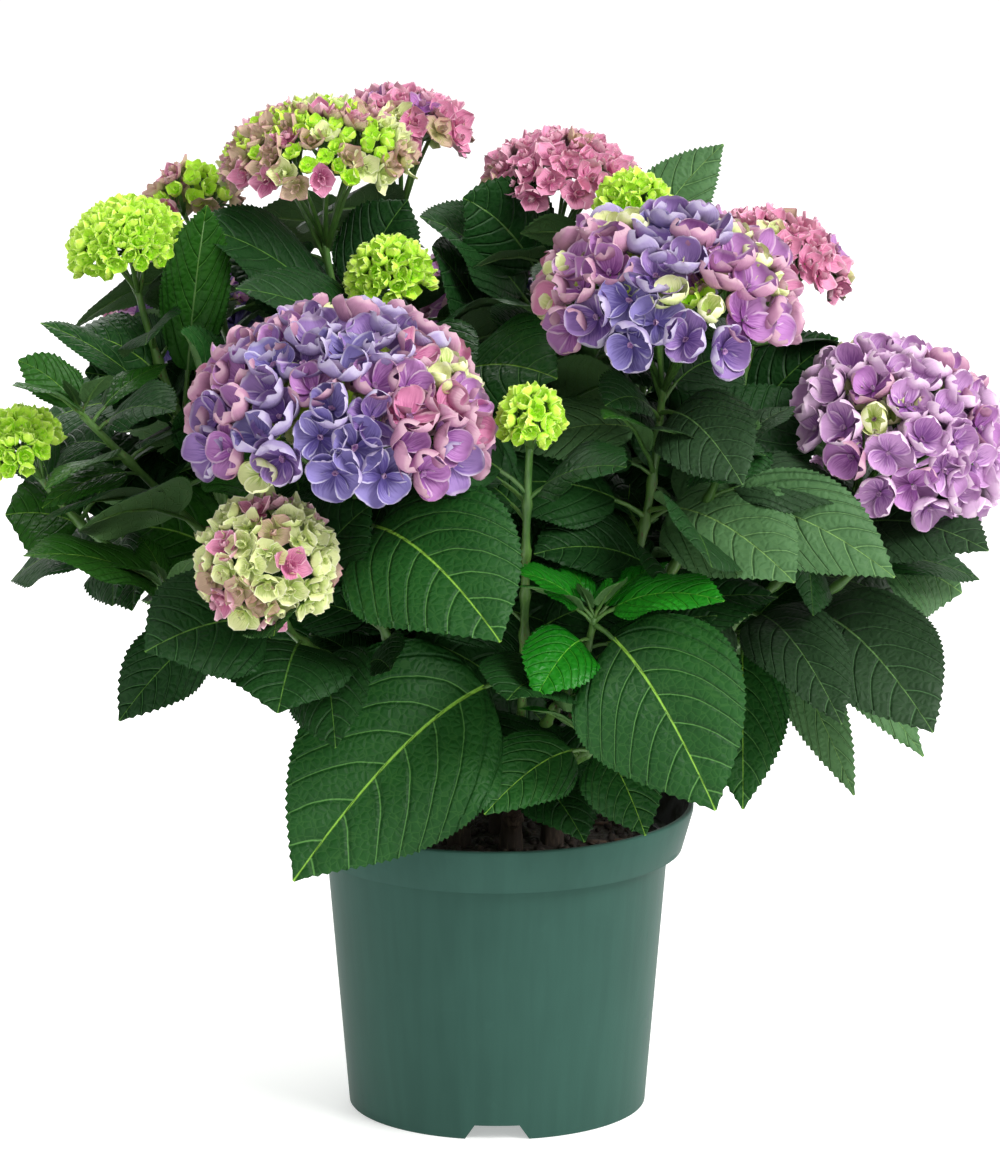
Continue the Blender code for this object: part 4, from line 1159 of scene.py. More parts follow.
def add_floret(bloom, foot, way, form, kind, rows, columns, dice):
    """Four sepals in two crossed pairs, the second pair closed in further than the first."""
    length, half, wrap, lean, point = form
    finishes = (SEPAL_NAMES.index(kind), SEPAL_NAMES.index(BACK_OF[kind]))
    side = np.cross(way, FLORET_START)
    side /= np.linalg.norm(side)
    other = np.cross(way, side)
    turn = dice.uniform(0.0, math.tau)
    floret_lean = lean + dice.normal(0.0, FLORET_SWING)
    for i in range(4):
        angle = turn + i * math.tau / 4 + dice.normal(0.0, SEPAL_SWING)
        toward = math.cos(angle) * side + math.sin(angle) * other
        own_lean = floret_lean + SECOND_PAIR_LEAN * (i % 2) + dice.normal(0.0, SEPAL_SWING)
        own_form = (length, half, wrap, own_lean, point)
        sheet = sepal_sheet(foot, way, toward, own_form, rows, columns, dice)
        bloom.add(sheet, finishes, dice.uniform())


sepal_finishes = [sepal_finish(name) for name in SEPAL_NAMES]
for seed, shoot in enumerate(shoots):
    if shoot.width == 0.0:
        continue
    dice = np.random.default_rng(HEAD_SEED + seed)
    *form, spacing, branches, lowest, sunk = HEADS[shoot.kind]
    is_large = shoot.kind in ("violet", "lilac")
    rows, columns = (FINE_ROWS, FINE_COLUMNS) if is_large else (MEDIUM_ROWS, MEDIUM_COLUMNS)
    bloom = Sheets()
    wood = greenwood[shoot.name]
    centre, axis = np.array(shoot.centre), np.array(shoot.axis)
    across, along = (np.array(side) for side in across_of(shoot.axis))
    knuckles = []
    for i in range(branches):
        around = i * math.tau / branches + BRANCH_TURN
        flat = math.cos(around) * across + math.sin(around) * along
        start = np.array(shoot.end) - axis * BRANCH_STEP * i
        knuckle = centre + flat * shoot.width * KNUCKLE_SPREAD + axis * shoot.height * KNUCKLE_RISE
        bend = start + (knuckle - start) * 0.5 + axis * shoot.width * BRANCH_BOW
        wood.add_limb((start, bend, knuckle), BRANCH_RADII, BRANCH_SIDES)
        knuckles.append(knuckle)
    wide = shoot.width / 2 - form[0] * SEPAL_REACH
    high = shoot.height - form[0] * sunk
    feet = []
    for foot, way in dome_spots(shoot, wide, high, spacing, lowest, dice):
        if shoot.kind == "violet" and foot[2] < shoot.centre.z - VIOLET_DROOP:
            continue
        kind = floret_kind(shoot, way, dice)
        own_form = HEART if kind == "lime" and shoot.kind == "tan" else form
        if kind == "pink" and shoot.kind == "cream":
            own_form = HEADS["pink"][:5]
        if kind in ("cream", "lime") and is_large:
            own_form = YOUNG_FLORET
        add_floret(bloom, foot, way, own_form, kind, rows, columns, dice)
        share = BUTTON_SHARE.get(shoot.kind, SMALL_BUTTON_SHARE)
        button = (own_form[0] * share, own_form[1] * share, *BUTTON_SHAPE)
        lifted = foot + way * (button[0] * BUTTON_LIFT)
        own_kind = "lilac" if is_large else kind
        add_floret(bloom, lifted, way, button, own_kind, SMALL_ROWS, SMALL_COLUMNS, dice)
        feet.append(foot)
    if is_large:
        opened = np.array(feet)
        unopened = np.full((1, 3), np.inf)
        gap_dome = (wide * GAP_LIFT, high * GAP_LIFT, spacing * GAP_SPACING, lowest)
        for foot, way in dome_spots(shoot, *gap_dome, dice):
            if foot[2] < shoot.centre.z + GAP_RISE:
                continue
            is_gap = np.linalg.norm(opened - foot, axis=1).min() > spacing * GAP_ROOM
            if not is_gap or np.linalg.norm(unopened - foot, axis=1).min() < spacing * GAP_APART:
                continue
            kind = GAP_KINDS[shoot.kind][dice.integers(3)]
            add_floret(bloom, foot, way, UNOPENED, kind, MEDIUM_ROWS, MEDIUM_COLUMNS, dice)
            unopened = np.append(unopened, [foot], axis=0)
            feet.append(foot)
    for foot in feet:
        nearest = min(knuckles, key=lambda place: np.linalg.norm(place - foot))
        middle = (nearest + foot) / 2 + axis * spacing * PEDICEL_BOW
        wood.add_limb((nearest, middle, foot), PEDICEL_RADII, PEDICEL_SIDES)
    head = bloom.make("bloom_" + shoot.name, sepal_finishes)
    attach(head, "root")
    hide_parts("foliage_" + shoot.name)


# Leaves. Opposite pairs, each a quarter turn from the one below: a thick green petiole, then
# a broad oval blade with a saw edge, a drawn-out tip, and veins that arch to the edge, with
# the blade quilted between them. Old leaves are dark, the youngest bright and glossy. Leaves
# deep in the crown take a darker copy of the colour, a painted shade; those on the lit right
# take paler and greyer copies, painted light and sheen.
PETIOLE_SHARE = 0.20
PETIOLE_RADII = (0.0023, 0.0017, 0.0015, 0.0015, 0.0011, 0.0008, 0.0004)
PETIOLE_STOPS = (0.0, 0.05, 0.12, 0.20, 0.42, 0.66, 0.90)
PETIOLE_SIDES = 7
PETIOLE_SCALE = (0.45, 4.0)
PETIOLE_SINK = (0.12, 12.0, 0.8)
LEAF_FOLD = 0.14
BLADE_FOLD = 1.25
BLADE_CURVE = 0.17
BLADE_WAVE = 0.10
BLADE_WAVES = (1.0, 1.8)
HALVES_APART = 2.0
BLADE_TWIST = 0.16
LEAF_ARCH = 0.24
LEAF_KNEE = 0.40
LEAF_SHEET = 0.0005
LEAF_COLUMNS = (-0.92, -0.66, -0.38, -0.13, 0.0, 0.13, 0.38, 0.66, 0.92)
ROW_LENGTH = 0.0056
ROW_LIMITS = (7, 30)
TEETH_PER_ROW = 2
TOOTH_SIZES = (0.7, 1.2)
TOOTH_GAP = -0.2
TOOTH_DEPTH = 0.0010
TOOTH_SLANT = 0.0009
TOOTH_FADE = 5.0
LEAST_HALF = 0.0007
BASE_FULLNESS = 0.42
TIP_FULLNESS = 2.3
TIP_DRAW = 0.22
TIP_SHARPNESS = 10
BLADE_PEAK = 0.602
VEIN_PAIRS = 6.5
VEIN_SLOPE = 0.22
VEIN_CURL = 0.40
VEIN_BEND = 2.3
VEIN_STAGGER = 0.38
QUILT = 0.0060
RIB_FADE = 4.0
EDGE_FADE = 3.0
PLAIN_STATIONS = ((0.20, 0.045), (0.44, 0.50), (0.76, 0.32))
PETIOLE_WIDTH = 0.0036
LEAF_THICKNESS = 0.024
PAIR_LENGTHS = (0.148, 0.146, 0.136, 0.120, 0.096)
PAIR_DROOP = (-0.50, -0.40, -0.30, -0.10, 0.05)
PAIR_SWING = 0.35
PAIR_SIZES = (0.88, 1.10)
PAIR_TILT = 0.15
LEAF_BREADTH = 0.58
LEAF_TONES = (0.1, 0.9)
BLADE_SEED = 900
LEAF_TRIES = ((1.0, 0.0), (1.0, 0.35), (0.84, -0.2), (0.84, 0.25), (0.68, 0.0))
QUARTER = math.radians(90)
LEAF_CLEARANCE = 0.0008
CROWN_MIDDLE = Vector((0.0, 0.0, 0.355))
CROWN_REACH = Vector((0.292, 0.270, 0.225))
POT_CLEARANCE = 0.012
HEAD_CLEARANCE = 0.15
SAME_PLACE = 0.0003
VIEWER_SIDE = Vector((0.0, -1.0, 0.25))

# Leaves that give the crown its outline and its face: the shoot, how far up it the leaf
# springs, its tip, its width, how far its blade turns from up to the front, and its finish.
PLACED_LEAVES = (
    ("front_1", 0.32, (-0.115, -0.165, 0.177), 0.118, 0.75, "mature"),
    ("front_2", 0.97, (0.123, -0.175, 0.221), 0.100, 0.80, "mature"),
    ("front_2", 0.99, (0.010, -0.152, 0.353), 0.030, 0.45, "young"),
    ("front_2", 0.98, (0.127, -0.175, 0.342), 0.044, 0.35, "young"),
    ("front_2", 0.90, (0.022, -0.180, 0.288), 0.044, 0.70, "young"),
    ("front_3", 0.99, (0.084, -0.155, 0.201), 0.048, 0.75, "mature"),
    ("front_3", 0.90, (-0.007, -0.150, 0.212), 0.048, 0.65, "mature"),
    ("front_left_1", 0.96, (0.002, -0.230, 0.332), 0.104, 0.65, "mature"),
    ("front_left_2", 0.72, (-0.122, -0.205, 0.285), 0.078, 0.70, "deep"),
    ("front_left_2", 0.80, (-0.196, -0.196, 0.318), 0.078, 0.60, "deep"),
    ("front_left_2", 0.86, (-0.070, -0.150, 0.392), 0.060, 0.45, "deep"),
    ("front_left_3", 0.80, (-0.214, -0.132, 0.262), 0.046, 0.70, "deep"),
    ("front_left_3", 0.94, (-0.266, -0.150, 0.362), 0.062, 0.30, "fresh"),
    ("left_2", 0.80, (-0.282, -0.050, 0.363), 0.070, 0.40, "fresh"),
    ("left_3", 0.80, (-0.258, -0.098, 0.378), 0.030, 0.30, "fresh"),
    ("left_3", 0.98, (-0.272, -0.072, 0.458), 0.028, 0.60, "fresh"),
    ("left_1", 0.62, (-0.262, -0.024, 0.470), 0.046, 0.25, "mature"),
    ("left_1", 0.70, (-0.166, -0.020, 0.538), 0.040, 0.70, "fresh"),
    ("left_1", 0.48, (-0.176, -0.090, 0.476), 0.060, 0.55, "mature"),
    ("middle_1", 0.74, (-0.176, -0.010, 0.524), 0.064, 0.45, "deep"),
    ("middle_1", 0.80, (-0.052, 0.060, 0.526), 0.054, 0.45, "deep"),
    ("middle_2", 0.70, (-0.148, -0.074, 0.500), 0.060, 0.50, "deep"),
    ("middle_3", 0.62, (0.010, -0.052, 0.486), 0.070, 0.45, "deep"),
    ("middle_3", 0.60, (0.132, 0.076, 0.556), 0.050, 0.60, "pale"),
    ("front_1", 0.86, (0.072, -0.172, 0.418), 0.062, 0.30, "deep"),
    ("front_right_1", 0.90, (0.061, -0.120, 0.442), 0.040, 0.60, "deep"),
    ("front_right_1", 0.92, (0.138, -0.140, 0.401), 0.060, 0.70, "dull"),
    ("front_right_1", 0.74, (0.060, -0.150, 0.441), 0.026, 0.50, "fresh"),
    ("front_right_1", 0.62, (0.168, -0.130, 0.342), 0.076, 0.50, "pale"),
    ("front_right_2", 0.52, (0.021, -0.115, 0.355), 0.060, 0.50, "deep"),
    ("front_right_2", 0.96, (0.136, -0.105, 0.394), 0.052, 0.55, "deep"),
    ("right_3", 0.40, (0.142, -0.060, 0.191), 0.054, 0.65, "mature"),
    ("right_1", 0.42, (0.196, -0.120, 0.257), 0.056, 0.60, "dull"),
    ("right_3", 0.66, (0.249, -0.100, 0.247), 0.080, 0.65, "dull"),
    ("right_3", 0.48, (0.207, -0.040, 0.194), 0.034, 0.60, "pale"),
    ("right_3", 0.56, (0.248, -0.020, 0.212), 0.036, 0.50, "pale"),
    ("right_3", 0.96, (0.272, 0.030, 0.298), 0.068, 0.60, "pale"),
    ("front_right_2", 0.82, (0.226, -0.100, 0.338), 0.056, 0.90, "pale"),
    ("right_1", 0.80, (0.280, -0.085, 0.350), 0.062, 0.50, "dull"),
)

# Lesser leaves that close the view into the crown, given in the same way. Most take the deep
# colour, a painted shade.
INNER_LEAVES = (
    ("back_3", 0.55, (-0.038, 0.050, 0.500), 0.070, 0.55, "deep"),
    ("middle_3", 0.55, (-0.004, -0.010, 0.470), 0.056, 0.50, "deep"),
    ("front_right_2", 0.12, (0.020, 0.015, 0.212), 0.055, 0.50, "deep"),
    ("right_2", 0.34, (0.078, 0.085, 0.325), 0.055, 0.50, "deep"),
    ("left_1", 0.06, (-0.048, -0.020, 0.285), 0.050, 0.50, "deep"),
    ("left_1", 0.80, (-0.245, 0.000, 0.460), 0.050, 0.50, "mature"),
    ("left_1", 0.70, (-0.237, -0.020, 0.440), 0.060, 0.50, "deep"),
    ("middle_1", 0.70, (-0.159, 0.040, 0.493), 0.056, 0.50, "deep"),
    ("left_1", 0.56, (-0.181, 0.060, 0.440), 0.050, 0.50, "deep"),
    ("left_1", 0.36, (-0.203, 0.050, 0.378), 0.055, 0.50, "deep"),
    ("middle_1", 0.30, (0.002, 0.020, 0.349), 0.045, 0.50, "deep"),
    ("front_left_3", 0.20, (-0.106, -0.020, 0.277), 0.050, 0.50, "deep"),
    ("right_3", 0.40, (0.177, 0.030, 0.303), 0.045, 0.50, "deep"),
    ("front_right_1", 0.02, (0.022, 0.000, 0.242), 0.050, 0.50, "deep"),
    ("right_2", 0.60, (0.087, 0.060, 0.410), 0.055, 0.50, "deep"),
    ("left_2", 0.70, (-0.227, 0.030, 0.395), 0.060, 0.50, "deep"),
    ("right_2", 0.66, (0.199, 0.050, 0.446), 0.060, 0.50, "deep"),
    ("back_3", 0.88, (-0.020, 0.050, 0.529), 0.062, 0.95, "deep"),
    ("back_3", 0.80, (-0.045, 0.050, 0.518), 0.058, 0.50, "deep"),
    ("right_2", 0.58, (0.066, 0.040, 0.370), 0.050, 0.50, "deep"),
    ("back_3", 0.32, (-0.042, 0.060, 0.346), 0.042, 0.50, "deep"),
    ("front_left_3", 0.30, (-0.108, -0.030, 0.287), 0.038, 0.50, "deep"),
)

# For each finish of leaf, the blade in its hollows and where it is lit, the midrib and the
# side veins; then its roughness.
LEAVES = {
    "mature": (
        (0.003, 0.030, 0.005), (0.016, 0.090, 0.014),
        (0.26, 0.52, 0.06), (0.10, 0.26, 0.06), 0.42,
    ),
    # A darker copy of the mature colour, a painted shade, for leaves within the crown and one leaf
    # of many pairs.
    "deep": (
        (0.003, 0.022, 0.004), (0.012, 0.062, 0.011),
        (0.11, 0.26, 0.04), (0.05, 0.15, 0.04), 0.42,
    ),
    "fresh": (
        (0.006, 0.046, 0.003), (0.026, 0.125, 0.010),
        (0.20, 0.42, 0.05), (0.07, 0.22, 0.03), 0.38,
    ),
    # A greyer copy for leaves on the right, its grey a painted sheen.
    "dull": (
        (0.010, 0.030, 0.010), (0.032, 0.072, 0.030),
        (0.13, 0.26, 0.08), (0.07, 0.16, 0.06), 0.46,
    ),
    # A paler, greyer copy for leaves on the lit right and on top: painted light and sheen.
    "pale": (
        (0.032, 0.090, 0.029), (0.096, 0.212, 0.080),
        (0.22, 0.40, 0.11), (0.17, 0.32, 0.11), 0.48,
    ),
    "young": (
        (0.003, 0.100, 0.004), (0.018, 0.240, 0.012),
        (0.15, 0.52, 0.04), (0.06, 0.36, 0.02), 0.26,
    ),
    "under": (
        (0.055, 0.135, 0.040), (0.100, 0.210, 0.068),
        (0.20, 0.34, 0.09), (0.17, 0.30, 0.09), 0.62,
    ),
}
LEAF_NAMES = tuple(LEAVES)


def swept_order(aside, along):
    """Counts the side veins at a place on the blade: whole numbers lie along a vein."""
    return (along - VEIN_SLOPE * aside - VEIN_CURL * aside**VEIN_BEND) * VEIN_PAIRS


def leaf_finish(name):
    """A leaf's surface, from its own map: u across the blade, at its middle, and v along it."""
    shade_colour, lit_colour, rib_colour, vein_colour, gloss = LEAVES[name]
    finish, shader, paint = new_finish("leaf_" + name)
    spot = paint.node("ShaderNodeUVMap", {"uv_map": "pattern"}, {})
    place = paint.node("ShaderNodeTexCoord", {}, {}, 3)
    trait = paint.node("ShaderNodeAttribute", {"attribute_name": "trait"}, {}, 2)
    along = spot.part(1)
    signed = spot.part(0) * 2.0 - 1.0
    aside = abs(signed)
    wander = paint.node("ShaderNodeTexNoise", {}, {"Vector": place, "Scale": 42.0, "Detail": 2.0})
    order = swept_order(aside, along + 0.025 * (wander - 0.5))
    order = order + signed.rise(-0.01, 0.01) * VEIN_STAGGER
    from_vein = abs(paint.math("FRACT", order) - 0.5) * 2.0
    vein = from_vein.rise(0.935, 0.985) * order.rise(0.02, 0.10) * (1.0 - 0.50 * aside)
    rib = (aside + 0.013 * along).rise(0.025, 0.012)
    net = {"Vector": place, "Scale": 210.0}
    cells = paint.node("ShaderNodeTexVoronoi", {"feature": "DISTANCE_TO_EDGE"}, net)
    mesh_line = cells.rise(0.07, 0.01)
    cloud = paint.node("ShaderNodeTexNoise", {}, {"Vector": place, "Scale": 16.0, "Detail": 3.0})
    tone = cloud.rise(0.30, 0.70) * 0.35 + trait * 0.50 - 0.10 * mesh_line
    tone = tone + from_vein.rise(0.9, 0.2) * 0.15
    colour = tone.between((*shade_colour, 1.0), (*lit_colour, 1.0))
    colour = (0.14 * mesh_line).between(colour, (*vein_colour, 1.0))
    colour = (0.85 * vein).between(colour, (*vein_colour, 1.0))
    colour = (0.95 * rib).between(colour, (*rib_colour, 1.0))
    height = cells.rise(0.0, 0.4) * 0.45 + from_vein.rise(1.0, 0.72) - rib * 0.4
    if name == "under":
        height = vein + rib + mesh_line * 0.3
    lay_on(paint, shader, colour, gloss + 0.12 * cloud, height, relief=0.0008)
    shader.inputs["Specular IOR Level"].default_value = 0.17
    return finish


def leaf_line(base, tip, looks, share):
    """Centres, headings, sides and upper directions of a leaf at shares of its length."""
    base, tip, looks = np.array(base), np.array(tip), np.array(looks)
    share = np.atleast_1d(share)[:, None]
    length = np.linalg.norm(tip - base)
    knee = base + (tip - base) * LEAF_KNEE + np.array(UP) * (LEAF_ARCH * length)
    rest = 1.0 - share
    centre = base * rest**2 + knee * (2.0 * rest * share) + tip * share**2
    way = (knee - base) * rest + (tip - knee) * share
    way /= np.linalg.norm(way, axis=1, keepdims=True)
    side = np.cross(way, looks)
    side /= np.linalg.norm(side, axis=1, keepdims=True)
    return centre, way, side, np.cross(side, way)


def blade_outline(along):
    """Half width of the blade, as a share of its greatest, from its foot to its tip."""
    foot = along**BASE_FULLNESS
    tip = 1.0 - along**TIP_FULLNESS
    return foot * tip * (1.0 - TIP_DRAW * along**TIP_SHARPNESS) / BLADE_PEAK


def blade_faces(rows, columns, stops):
    """Triangles of a blade: a net of rows and columns, with a finer saw edge on each side.
    From each row's half way on, the teeth join the next row's point; at both ends of the
    blade they all join the point inside it."""
    faces = [net_faces(rows, columns)[0]]
    teeth = stops * (rows - 1) + 1
    half_way = np.full(rows - 1, stops // 2)
    half_way[0], half_way[-1] = 0, stops
    edge = rows * columns
    for column in (0, columns - 1):
        near = np.arange(rows - 1) * columns + column
        far = edge + np.arange(rows - 1) * stops
        strip = [(near, far + half_way, near + columns)]
        for i in range(stops):
            strip += [(np.where(i < half_way, near, near + columns), far + i, far + i + 1)]
        turned = slice(None) if column == 0 else slice(None, None, -1)
        faces += [np.stack(corners, -1)[:, turned] for corners in strip]
        edge += teeth
    return np.concatenate(faces)


def leaf_sheet(base, tip, width, looks, dice):
    """The blade, as a thin sheet: saw edge, quilted between its veins, waved and folded."""
    length = np.linalg.norm(np.array(tip) - np.array(base))
    rows = int(np.clip(length * (1.0 - PETIOLE_SHARE) / ROW_LENGTH, *ROW_LIMITS)) + 1
    stops = 2 * TEETH_PER_ROW
    twist = dice.normal(0.0, BLADE_TWIST)
    wave_count, wave_turn = dice.uniform(*BLADE_WAVES), dice.uniform(0.0, math.tau)

    def surface(along, column, saw):
        """Points and pattern places of the blade, where saw is how far its edge stands out."""
        share = PETIOLE_SHARE + (1.0 - PETIOLE_SHARE) * along
        centre, way, flat, above = leaf_line(base, tip, looks, share)
        turn = (twist * along)[:, None]
        side = flat * np.cos(turn) + above * np.sin(turn)
        upper = above * np.cos(turn) - flat * np.sin(turn)
        row = along[:, None]
        outline = blade_outline(row)
        half = np.maximum(width * 0.5 * outline, LEAST_HALF)
        across = column * outline
        aside = abs(across)
        order = swept_order(aside, row) + (across > 0.0) * VEIN_STAGGER
        between = (1.0 - np.cos(math.tau * order)) / 2.0
        fade = np.minimum(1.0, aside * RIB_FADE)
        fade = fade * np.minimum(1.0, (1.0 - abs(column)) * EDGE_FADE)
        quilt = length * QUILT * between * fade
        halves = (across > 0.0) * HALVES_APART
        wave = np.sin(math.tau * row * wave_count + wave_turn + halves)
        fold = LEAF_FOLD * BLADE_FOLD * abs(column) - BLADE_CURVE * abs(column) ** 3
        lift = half * (fold + BLADE_WAVE * wave * column**2) + quilt
        x = half * column + np.sign(column) * saw[:, None] * TOOTH_DEPTH
        ahead = np.maximum(saw, 0.0)[:, None] * TOOTH_SLANT
        top = centre[:, None] + side[:, None] * x[..., None] + upper[:, None] * lift[..., None]
        top = top + way[:, None] * ahead[..., None]
        bottom = top - upper[:, None] * LEAF_SHEET
        spots = np.stack(np.broadcast_arrays((across + 1.0) / 2.0, row), -1)
        return top.reshape(-1, 3), bottom.reshape(-1, 3), spots.reshape(-1, 2)

    along = np.linspace(0.0, 1.0, rows)
    inner = surface(along, np.array(LEAF_COLUMNS)[None, :], np.zeros(rows))
    along = np.linspace(0.0, 1.0, stops * (rows - 1) + 1)
    calm = np.clip(np.sin(math.pi * along) * TOOTH_FADE, 0.0, 1.0)
    saw = np.where(np.arange(len(along)) % 2 == 1, 1.0, TOOTH_GAP) * calm
    saw = saw * dice.uniform(*TOOTH_SIZES, len(along))
    parts = [inner] + [surface(along, np.array([[edge]]), saw) for edge in (-1.0, 1.0)]
    top, bottom, spots = (np.concatenate(group) for group in zip(*parts))
    is_border = np.ones(len(top), bool)
    is_border[len(LEAF_COLUMNS):(rows - 1) * len(LEAF_COLUMNS)] = False
    return two_skins(top, bottom, blade_faces(rows, len(LEAF_COLUMNS), stops), is_border, spots)


def solid_leaf(base, tip, width, looks, stations, root_share=0.0):
    """A coarse leaf with air round it, to test where a leaf has room."""
    base, tip = np.array(base), np.array(tip)
    length = np.linalg.norm(tip - base)
    root = leaf_line(base, tip, looks, root_share)[0][0]
    points = [root, tip]
    for share, width_share in stations:
        if share <= root_share:
            continue
        centre, _, side, upper = (part[0] for part in leaf_line(base, tip, looks, share))
        half = max(width * width_share, PETIOLE_WIDTH / 2) + LEAF_CLEARANCE
        lift = upper * (LEAF_FOLD * half)
        thick = upper * (LEAF_THICKNESS * length / 2 + LEAF_CLEARANCE)
        sides = (centre + lift - side * half, centre + lift + side * half)
        points += [sides[0], centre + thick, sides[1], centre - thick]
    faces = []
    last = len(points) - 4
    for i in range(4):
        j = (i + 1) % 4
        faces += [(0, 2 + j, 2 + i), (1, last + i, last + j)]
        for near in range(2, last, 4):
            faces += [(near + i, near + j, near + 4 + j), (near + i, near + 4 + j, near + 4 + i)]
    return BVHTree.FromPolygons([Vector(place) + STAND for place in points], faces)


def spread_out(angle, rise):
    """The direction at this angle round the plant that rises so much for its reach."""
    return Vector((math.cos(angle), math.sin(angle), rise)).normalized()


def outward_of(base):
    """The way a blade looks that springs from here: half up, half away from the middle."""
    return (UP + Vector((base.x, base.y, 0.0)).normalized()) / 2


def over_a_head(point):
    """True where a point would hide a flower head: it stands over the head's face."""
    for shoot in shoots:
        if shoot.width == 0.0:
            continue
        offset = point - shoot.centre
        height = offset.dot(shoot.axis)
        aside = (offset - shoot.axis * height).length
        if 0.0 < height < HEAD_CLEARANCE and aside < shoot.width / 2:
            return True
    return False


def in_crown(point):
    """True inside the crown's outline and clear of the pot."""
    offset = point - CROWN_MIDDLE
    inside = sum((offset[i] / CROWN_REACH[i]) ** 2 for i in range(3)) < 1.0
    return inside and point.z > POT_HEIGHT + POT_CLEARANCE


def points_of(node):
    """A tree of a node's points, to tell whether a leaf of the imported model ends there."""
    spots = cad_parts[node].data.vertices
    tree = KDTree(len(spots))
    for i, spot in enumerate(spots):
        tree.insert(spot.co, i)
    tree.balance()
    return tree


def tree_of(node):
    """A tree of a node's faces, to test against."""
    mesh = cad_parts[node].data
    faces = [tuple(face.vertices) for face in mesh.polygons]
    return BVHTree.FromPolygons([spot.co for spot in mesh.vertices], faces)


# The broad front leaves stay clear: no lesser leaf stands between them and the viewer. On
# the left the plant is open under the crown's skirt. On the right it is open low in front,
# and high up between the heads.
CLEAR_FRONT = -0.10
CLEAR_STOPS = (0.25, 0.38, 0.55, 0.78)
CLEAR_SIDES = (-0.30, 0.0, 0.30)
LOW_LEFT_SIDE = -0.13
LOW_LEFT_SLOPE = 0.20
LOW_LEFT_SKIRT = 0.295
LOW_RIGHT_CORNER = Vector((0.10, -0.09, 0.25))
HIGH_RIGHT_CORNER = Vector((0.17, 0.0, 0.42))
leaves = {shoot.name: [] for shoot in shoots}
by_name = {shoot.name: shoot for shoot in shoots}
clear_points = []
for name, place, tip, width, face, kind in PLACED_LEAVES + INNER_LEAVES:
    base, tip = by_name[name].at(place), Vector(tip)
    looks = UP * (1.0 - face) + VIEWER_SIDE * face
    leaves[name].append((base, tip, width, looks, kind))
    if tip.y < CLEAR_FRONT:
        centre, _, side, _ = leaf_line(base, tip, looks, CLEAR_STOPS)
        for aside in CLEAR_SIDES:
            clear_points += [Vector(point) for point in centre + side * (width * aside)]


def hides_the_front(tree):
    """True where a leaf stands between the viewer and one of the broad front leaves."""
    return any(
        tree.ray_cast(point + STAND, (CAMERA_PLACE - point).normalized())[0] is not None
        for point in clear_points
    )


def in_the_open(tip):
    """True where the plant is open: low on the left, and low in front or high on the right."""
    on_left = tip.x < LOW_LEFT_SIDE and tip.z + LOW_LEFT_SLOPE * tip.y < LOW_LEFT_SKIRT
    low, high = LOW_RIGHT_CORNER, HIGH_RIGHT_CORNER
    on_right = tip.x > low.x and tip.y < low.y and tip.z < low.z
    return on_left or on_right or (tip.x > high.x and tip.z > high.z)


# The pairs, where the imported model has them. On the right they take the pale colour, painted
# light and sheen, and the dull one, its grey a painted sheen; on the left fresh and mature;
# elsewhere one leaf of each pair takes the deep colour, a painted shade.
PAIR_KINDS = {
    "left": ("fresh", "mature"),
    "right": ("pale", "dull"),
    "front_right": ("dull", "pale"),
}
for seed, shoot in enumerate(shoots):
    dice = random.Random(seed)
    ends = points_of("foliage_" + shoot.name)
    heading = math.atan2(shoot.end.y, shoot.end.x)
    for i, place in enumerate(PAIR_PLACES):
        base = shoot.at(place)
        looks = outward_of(base)
        for j in range(2):
            kind = PAIR_KINDS.get(shoot.cane, ("mature", "deep"))[(i + j) % 2]
            angle = heading + QUARTER * (i + 2 * j + 0.5) + dice.uniform(-PAIR_SWING, PAIR_SWING)
            length = PAIR_LENGTHS[i] * dice.uniform(*PAIR_SIZES)
            droop = PAIR_DROOP[i] + dice.uniform(-PAIR_TILT, PAIR_TILT)
            for size, lift in LEAF_TRIES:
                tip = base + spread_out(angle, droop + lift) * (length * size)
                if ends.find(tip + STAND)[2] > SAME_PLACE:
                    continue
                leaf = (base, tip, length * size * LEAF_BREADTH, looks)
                if not (in_the_open(tip) or hides_the_front(solid_leaf(*leaf, PLAIN_STATIONS))):
                    leaves[shoot.name].append((*leaf, kind))
                break

# More leaves of the same rule, smaller and between the pairs, wherever they find room. They
# take the deep colour, a painted shade.
MORE_PLACES = (
    0.04, 0.10, 0.16, 0.24, 0.31, 0.38, 0.43, 0.49, 0.54, 0.60, 0.66, 0.73, 0.80, 0.88, 0.95,
)
MORE_TRIES = 10
MORE_SEED = 500
MORE_LENGTHS = (0.062, 0.120)
MORE_RISE = (-0.45, 0.45)
LOW_SKIRT = 0.235
POT_SKIRT = 0.185
POT_SIDE = 0.13
solids = {name: tree_of(name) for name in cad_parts}
grown = []
for seed, shoot in enumerate(shoots):
    dice = random.Random(MORE_SEED + seed)
    own = "foliage_" + shoot.name
    for place in MORE_PLACES:
        base = shoot.at(place)
        looks = outward_of(base)
        for _ in range(MORE_TRIES):
            angle = dice.uniform(0.0, math.tau)
            length = dice.uniform(*MORE_LENGTHS)
            tip = base + spread_out(angle, dice.uniform(*MORE_RISE)) * length
            width = length * LEAF_BREADTH
            skirt = LOW_SKIRT if abs(tip.x) > POT_SIDE else POT_SKIRT
            if not in_crown(tip) or over_a_head(tip) or tip.z < skirt or in_the_open(tip):
                continue
            whole = solid_leaf(base, tip, width, looks, PLAIN_STATIONS)
            blade = solid_leaf(base, tip, width, looks, PLAIN_STATIONS, PETIOLE_SHARE)
            bough = "shoot_" + shoot.name
            others = (tree for name, tree in solids.items() if name not in (own, bough))
            if any(whole.overlap(tree) for tree in others) or blade.overlap(solids[own]):
                continue
            if any(whole.overlap(tree) for tree in grown) or hides_the_front(whole):
                continue
            grown.append(whole)
            leaves[shoot.name].append((base, tip, width, looks, "deep"))
            break

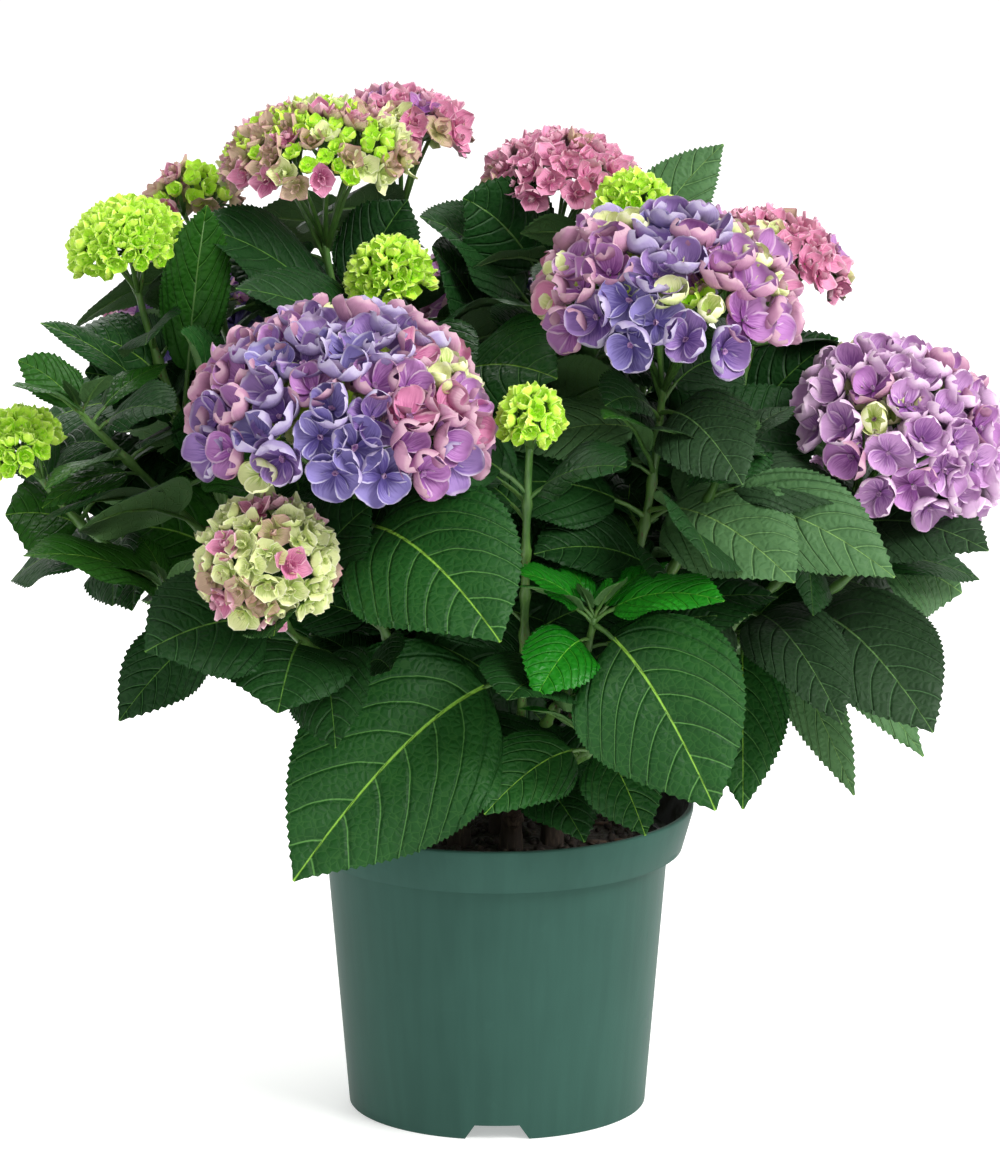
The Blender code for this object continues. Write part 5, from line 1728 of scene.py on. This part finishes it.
# The youngest pairs stand upright round the tip of each shoot that has no flower.
TIP_PAIRS = ((0.97, 0.060, 0.55), (1.0, 0.040, 0.95), (1.0, 0.024, 1.8))
TIP_TURN = 0.4
TIP_BREADTH = 0.8
# Tips on the right take the dull colour, its grey a painted sheen.
TIP_KINDS = {"left": "fresh", "front_left": "fresh", "right": "dull", "front_right": "dull"}
for shoot in shoots:
    if shoot.width > 0.0:
        continue
    for i, (place, length, rise) in enumerate(TIP_PAIRS):
        for j in range(2):
            spread = spread_out(QUARTER * (i + 2 * j + TIP_TURN), rise)
            base = shoot.at(place)
            looks = (UP + Vector((-spread.x, -spread.y, 0.0))) / 2
            tip = base + spread * length
            kind = TIP_KINDS.get(shoot.cane, "young")
            width = length * LEAF_BREADTH * TIP_BREADTH
            leaves[shoot.name].append((base, tip, width, looks, kind))

leaf_finishes = [leaf_finish(name) for name in LEAF_NAMES]
for seed, shoot in enumerate(shoots):
    dice = np.random.default_rng(BLADE_SEED + seed)
    foliage = Sheets()
    wood = greenwood[shoot.name]
    for base, tip, width, looks, kind in leaves[shoot.name]:
        finishes = (LEAF_NAMES.index(kind), LEAF_NAMES.index("under"))
        blade = leaf_sheet(base, tip, width, looks, dice)
        foliage.add(blade, finishes, dice.uniform(*LEAF_TONES))
        centre, _, _, upper = leaf_line(base, tip, looks, PETIOLE_STOPS)
        least, growth = PETIOLE_SCALE
        radii = np.array(PETIOLE_RADII) * min(1.0, least + (tip - base).length * growth)
        start, steepness, depth = PETIOLE_SINK
        sunk = np.clip((np.array(PETIOLE_STOPS) - start) * steepness, 0.0, 1.0) * radii * depth
        wood.add_limb(centre - upper * sunk[:, None], radii, PETIOLE_SIDES)
    piece = foliage.make("leaves_" + shoot.name, leaf_finishes)
    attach(piece, "root")
    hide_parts("foliage_" + shoot.name)
    stems = wood.make("green_" + shoot.name, [green_stem])
    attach(stems, "root")
    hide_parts("shoot_" + shoot.name, "foliage_" + shoot.name)

lowest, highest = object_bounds()
sizes = {"cad": [list(cad_low), list(cad_high)], "scene": [list(lowest), list(highest)]}
